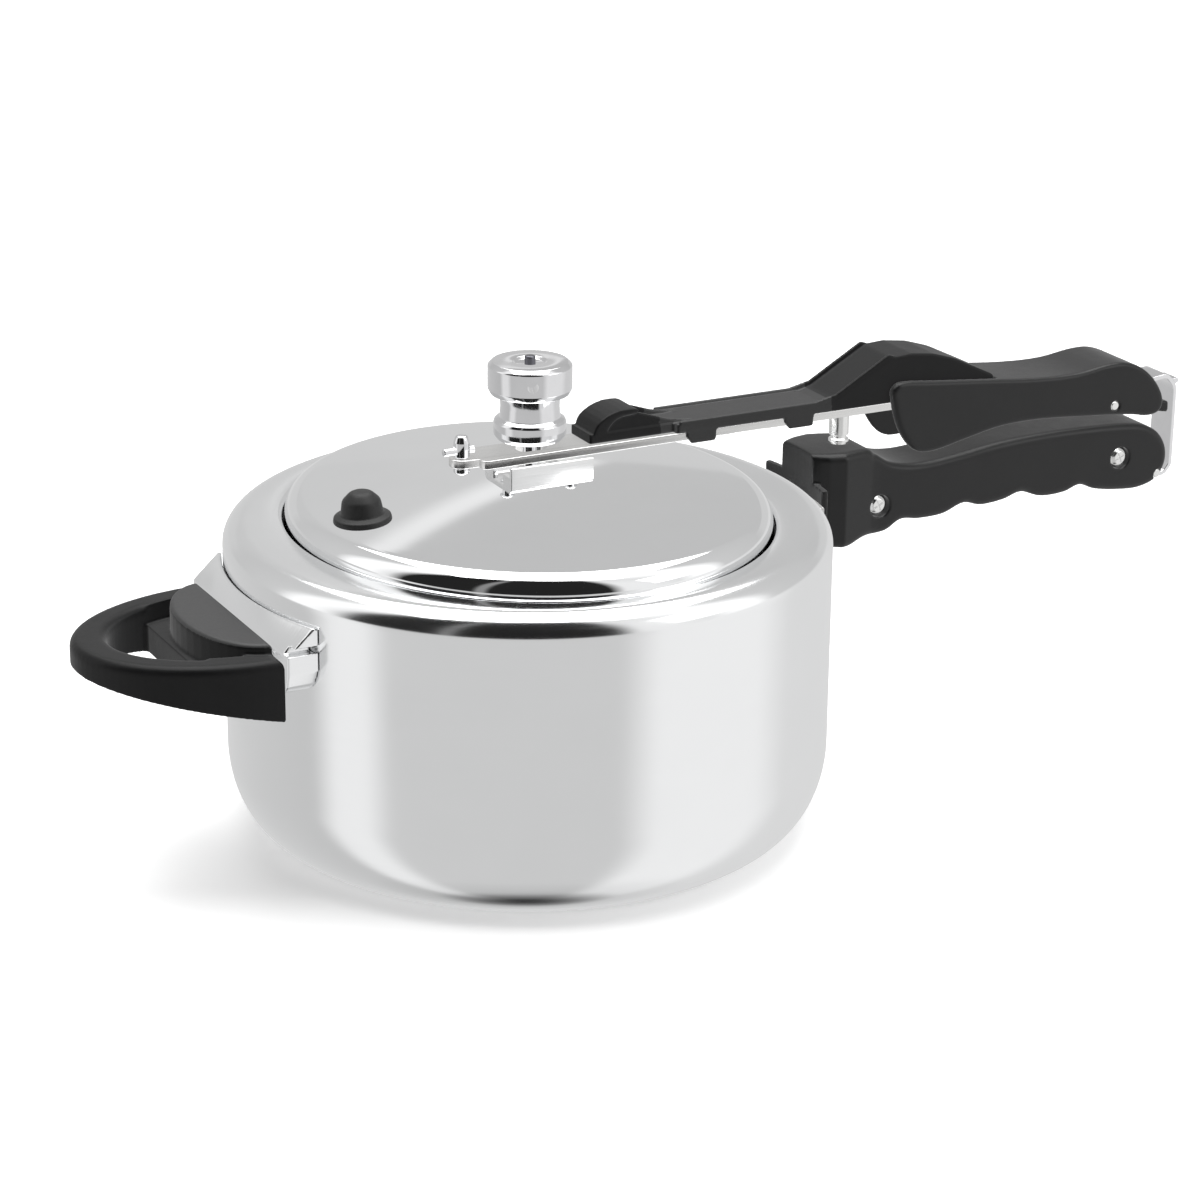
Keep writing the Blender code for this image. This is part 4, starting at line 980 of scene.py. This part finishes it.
def make_camera():
    """The viewing angle of the product picture, at a long lens."""
    back = Vector((-math.sin(VIEW_AZIMUTH) * math.cos(VIEW_ELEVATION),
                   -math.cos(VIEW_AZIMUTH) * math.cos(VIEW_ELEVATION), math.sin(VIEW_ELEVATION)))
    level = Vector((math.cos(VIEW_AZIMUTH), -math.sin(VIEW_AZIMUTH), 0.0))
    upright = back.cross(level)
    right = level * math.cos(VIEW_ROLL) + upright * math.sin(VIEW_ROLL)
    up = upright * math.cos(VIEW_ROLL) - level * math.sin(VIEW_ROLL)
    aim = level * AIM_SIDE + Vector((0.0, 0.0, AIM_HEIGHT))
    data = bpy.data.cameras.new("camera")
    data.sensor_width = 36.0
    data.lens = 105.0
    data.clip_start, data.clip_end = 0.01, 100.0
    camera = new_object("camera", data)
    place = Matrix((right, up, back)).transposed().to_4x4()
    place.translation = aim + back * VIEW_DISTANCE
    camera.matrix_world = place
    bpy.context.scene.camera = camera
    return level, Vector((back.x, back.y, 0.0)).normalized()


def make_world(side, front):
    """A white studio, dark on the side where the picture is taken from, with a floor of light bands."""
    world = bpy.data.worlds.new("studio")
    bpy.context.scene.world = world
    world.use_nodes = True
    nodes = Nodes(world.node_tree)
    direction = nodes.add("ShaderNodeTexCoord").outputs["Generated"]
    height = nodes.dot(direction, (0, 0, 1))
    forward = nodes.dot(direction, front)
    sideways = nodes.dot(direction, side)
    around = nodes.math("MULTIPLY_ADD", nodes.math("ARCTAN2", sideways, forward), 0.5 / math.pi, 0.5)
    arch = nodes.math("MULTIPLY_ADD", forward, 0.5, 0.5)
    screen = nodes.math("MULTIPLY", nodes.ramp(arch, SCREEN_DEPTH), nodes.ramp(around, SCREEN_WIDTH))
    across = nodes.math("MULTIPLY_ADD", height, CARD_SLANT, sideways)
    card = nodes.ramp(nodes.math("MULTIPLY_ADD", across, 2.5, 0.094), CARD)
    raised = nodes.math("MULTIPLY_ADD", height, 160.0, -40.0, clamp=True)
    card = nodes.math("MULTIPLY_ADD", nodes.math("ADD", card, -CARD_LOW), raised, CARD_LOW)
    behind = nodes.math("MULTIPLY_ADD", forward, -10.0, -7.0, clamp=True)
    sky = nodes.math("MULTIPLY", nodes.ramp(arch, UPPER_STOPS), nodes.math("SUBTRACT", 1.0, behind))
    sky = nodes.math("ADD", sky, nodes.math("MULTIPLY", card, behind))
    upper = nodes.math("MULTIPLY", sky, nodes.math("SUBTRACT", 1.0, screen))
    bands = nodes.ramp(around, FLOOR_BANDS)
    depth = nodes.ramp(nodes.math("MULTIPLY", height, -1.0), FLOOR_DEPTH)
    lower = nodes.math("MULTIPLY", bands, depth)
    above = nodes.math("MULTIPLY_ADD", height, 25.0, 0.5, clamp=True)
    mix = nodes.add("ShaderNodeMix", data_type="FLOAT")
    nodes.put(mix.inputs[0], above)
    nodes.put(mix.inputs[2], lower)
    nodes.put(mix.inputs[3], upper)
    shader = world.node_tree.nodes["Background"]
    nodes.put(shader.inputs["Color"], mix.outputs[0])
    shader.inputs["Strength"].default_value = 1.0


# Brightness of the upper half, from behind the object (0) over the top (0.5) to the camera's side (1)
UPPER_STOPS = [(0.0, 0.56), (0.15, 0.6), (0.4, 0.66), (0.47, 1.2), (0.58, 1.15), (0.66, 0.85), (0.78, 0.95),
               (1.0, 0.92)]
# A dark screen towards the camera, from the left to the right of it, with a slit
SCREEN_DEPTH = [(0.0, 0.0), (0.54, 0.0), (0.6, 0.98), (1.0, 0.98)]
SCREEN_WIDTH = [(0.0, 0.0), (0.3, 0.0), (0.32, 1.0), (0.412, 1.0), (0.418, 0.72), (0.426, 0.72), (0.432, 1.0),
                (0.595, 1.0), (0.615, 0.0), (1.0, 0.0)]
# A grey card behind the object with a slanted left edge, brighter along that edge and to the left of it
CARD = [(0.0, 0.62), (0.44, 0.66), (0.48, 0.92), (0.505, 0.92), (0.53, 0.57), (1.0, 0.57)]
CARD_SLANT = 0.6
CARD_LOW = 0.66               # brightness under the card's lower edge
# Brightness of the floor, round the object from behind, by the left, the front and the right, and downwards
FLOOR_BANDS = [(0.0, 0.72), (0.26, 0.6), (0.29, 0.95), (0.33, 0.95), (0.36, 0.66), (0.60, 0.66), (0.64, 0.95),
               (0.77, 0.95), (0.82, 0.78), (1.0, 0.72)]
FLOOR_DEPTH = [(0.0, 1.0), (0.85, 1.0), (0.955, 0.85), (0.985, 0.3), (1.0, 0.03)]


def make_stage():
    """A white floor that the metal doesn't mirror, and a white surround that only the camera sees."""
    mat, shader = surface("stage_white", Roughness=0.9, Specular_IOR_Level=0.1)[:2]
    shader.inputs["Base Color"].default_value = (0.95, 0.95, 0.95, 1.0)
    shader.inputs["Emission Color"].default_value = (1.0, 1.0, 1.0, 1.0)
    shader.inputs["Emission Strength"].default_value = 0.3
    body = bmesh.new()
    bmesh.ops.create_circle(body, cap_ends=True, segments=96, radius=12.0)
    mesh = bpy.data.meshes.new("floor")
    body.to_mesh(mesh)
    body.free()
    floor = new_object("floor", mesh)
    floor.location.z = -0.0002
    floor.data.materials.append(mat)
    floor.visible_glossy = False
    glow, shader = surface("surround_white")[:2]
    shader.inputs["Base Color"].default_value = (0.0, 0.0, 0.0, 1.0)
    shader.inputs["Emission Color"].default_value = (1.0, 1.0, 1.0, 1.0)
    shader.inputs["Emission Strength"].default_value = 1.0
    body = bmesh.new()
    bmesh.ops.create_uvsphere(body, u_segments=64, v_segments=32, radius=14.0)
    mesh = bpy.data.meshes.new("surround")
    body.to_mesh(mesh)
    body.free()
    surround = new_object("surround", mesh)
    surround.data.materials.append(glow)
    for ray in ("diffuse", "glossy", "transmission", "volume_scatter", "shadow"):
        setattr(surround, "visible_" + ray, False)


def make_lights(side, front):
    """Two soft boxes, one overhead and one on the right."""
    for name, place, size, power in (
            ("top_box", Vector((0.0, 0.0, 1.5)) - front * 0.3, 1.6, 26.0),
            ("right_box", side * 1.4 + front * 0.5 + Vector((0, 0, 0.9)), 0.8, 3.0)):
        data = bpy.data.lights.new(name, "AREA")
        data.size = size
        data.energy = power
        light = new_object(name, data)
        light.location = place
        light.rotation_euler = (Vector((0, 0, 0.05)) - place).to_track_quat("-Z", "Y").to_euler()
        light.visible_camera = False


# ---------------------------------------------------------------- everything

def main():
    bpy.context.scene.view_settings.view_transform = "Standard"
    side, front = make_camera()
    make_world(side, front)
    make_stage()
    make_lights(side, front)
    make_pot()
    make_lid()
    make_gasket()
    for make in (make_rivets, make_handle_screws, make_post, make_pins, make_hidden_screws, make_vent,
                 make_safety_valve,
                 make_weight, make_stud, make_lever_bar, make_lid_bracket, make_latch, make_catch_plate,
                 make_handle_bracket, make_helper_bracket, make_upper_handle, make_lower_handle,
                 make_bar_cover,
                 make_helper_handle):
        make()


main()
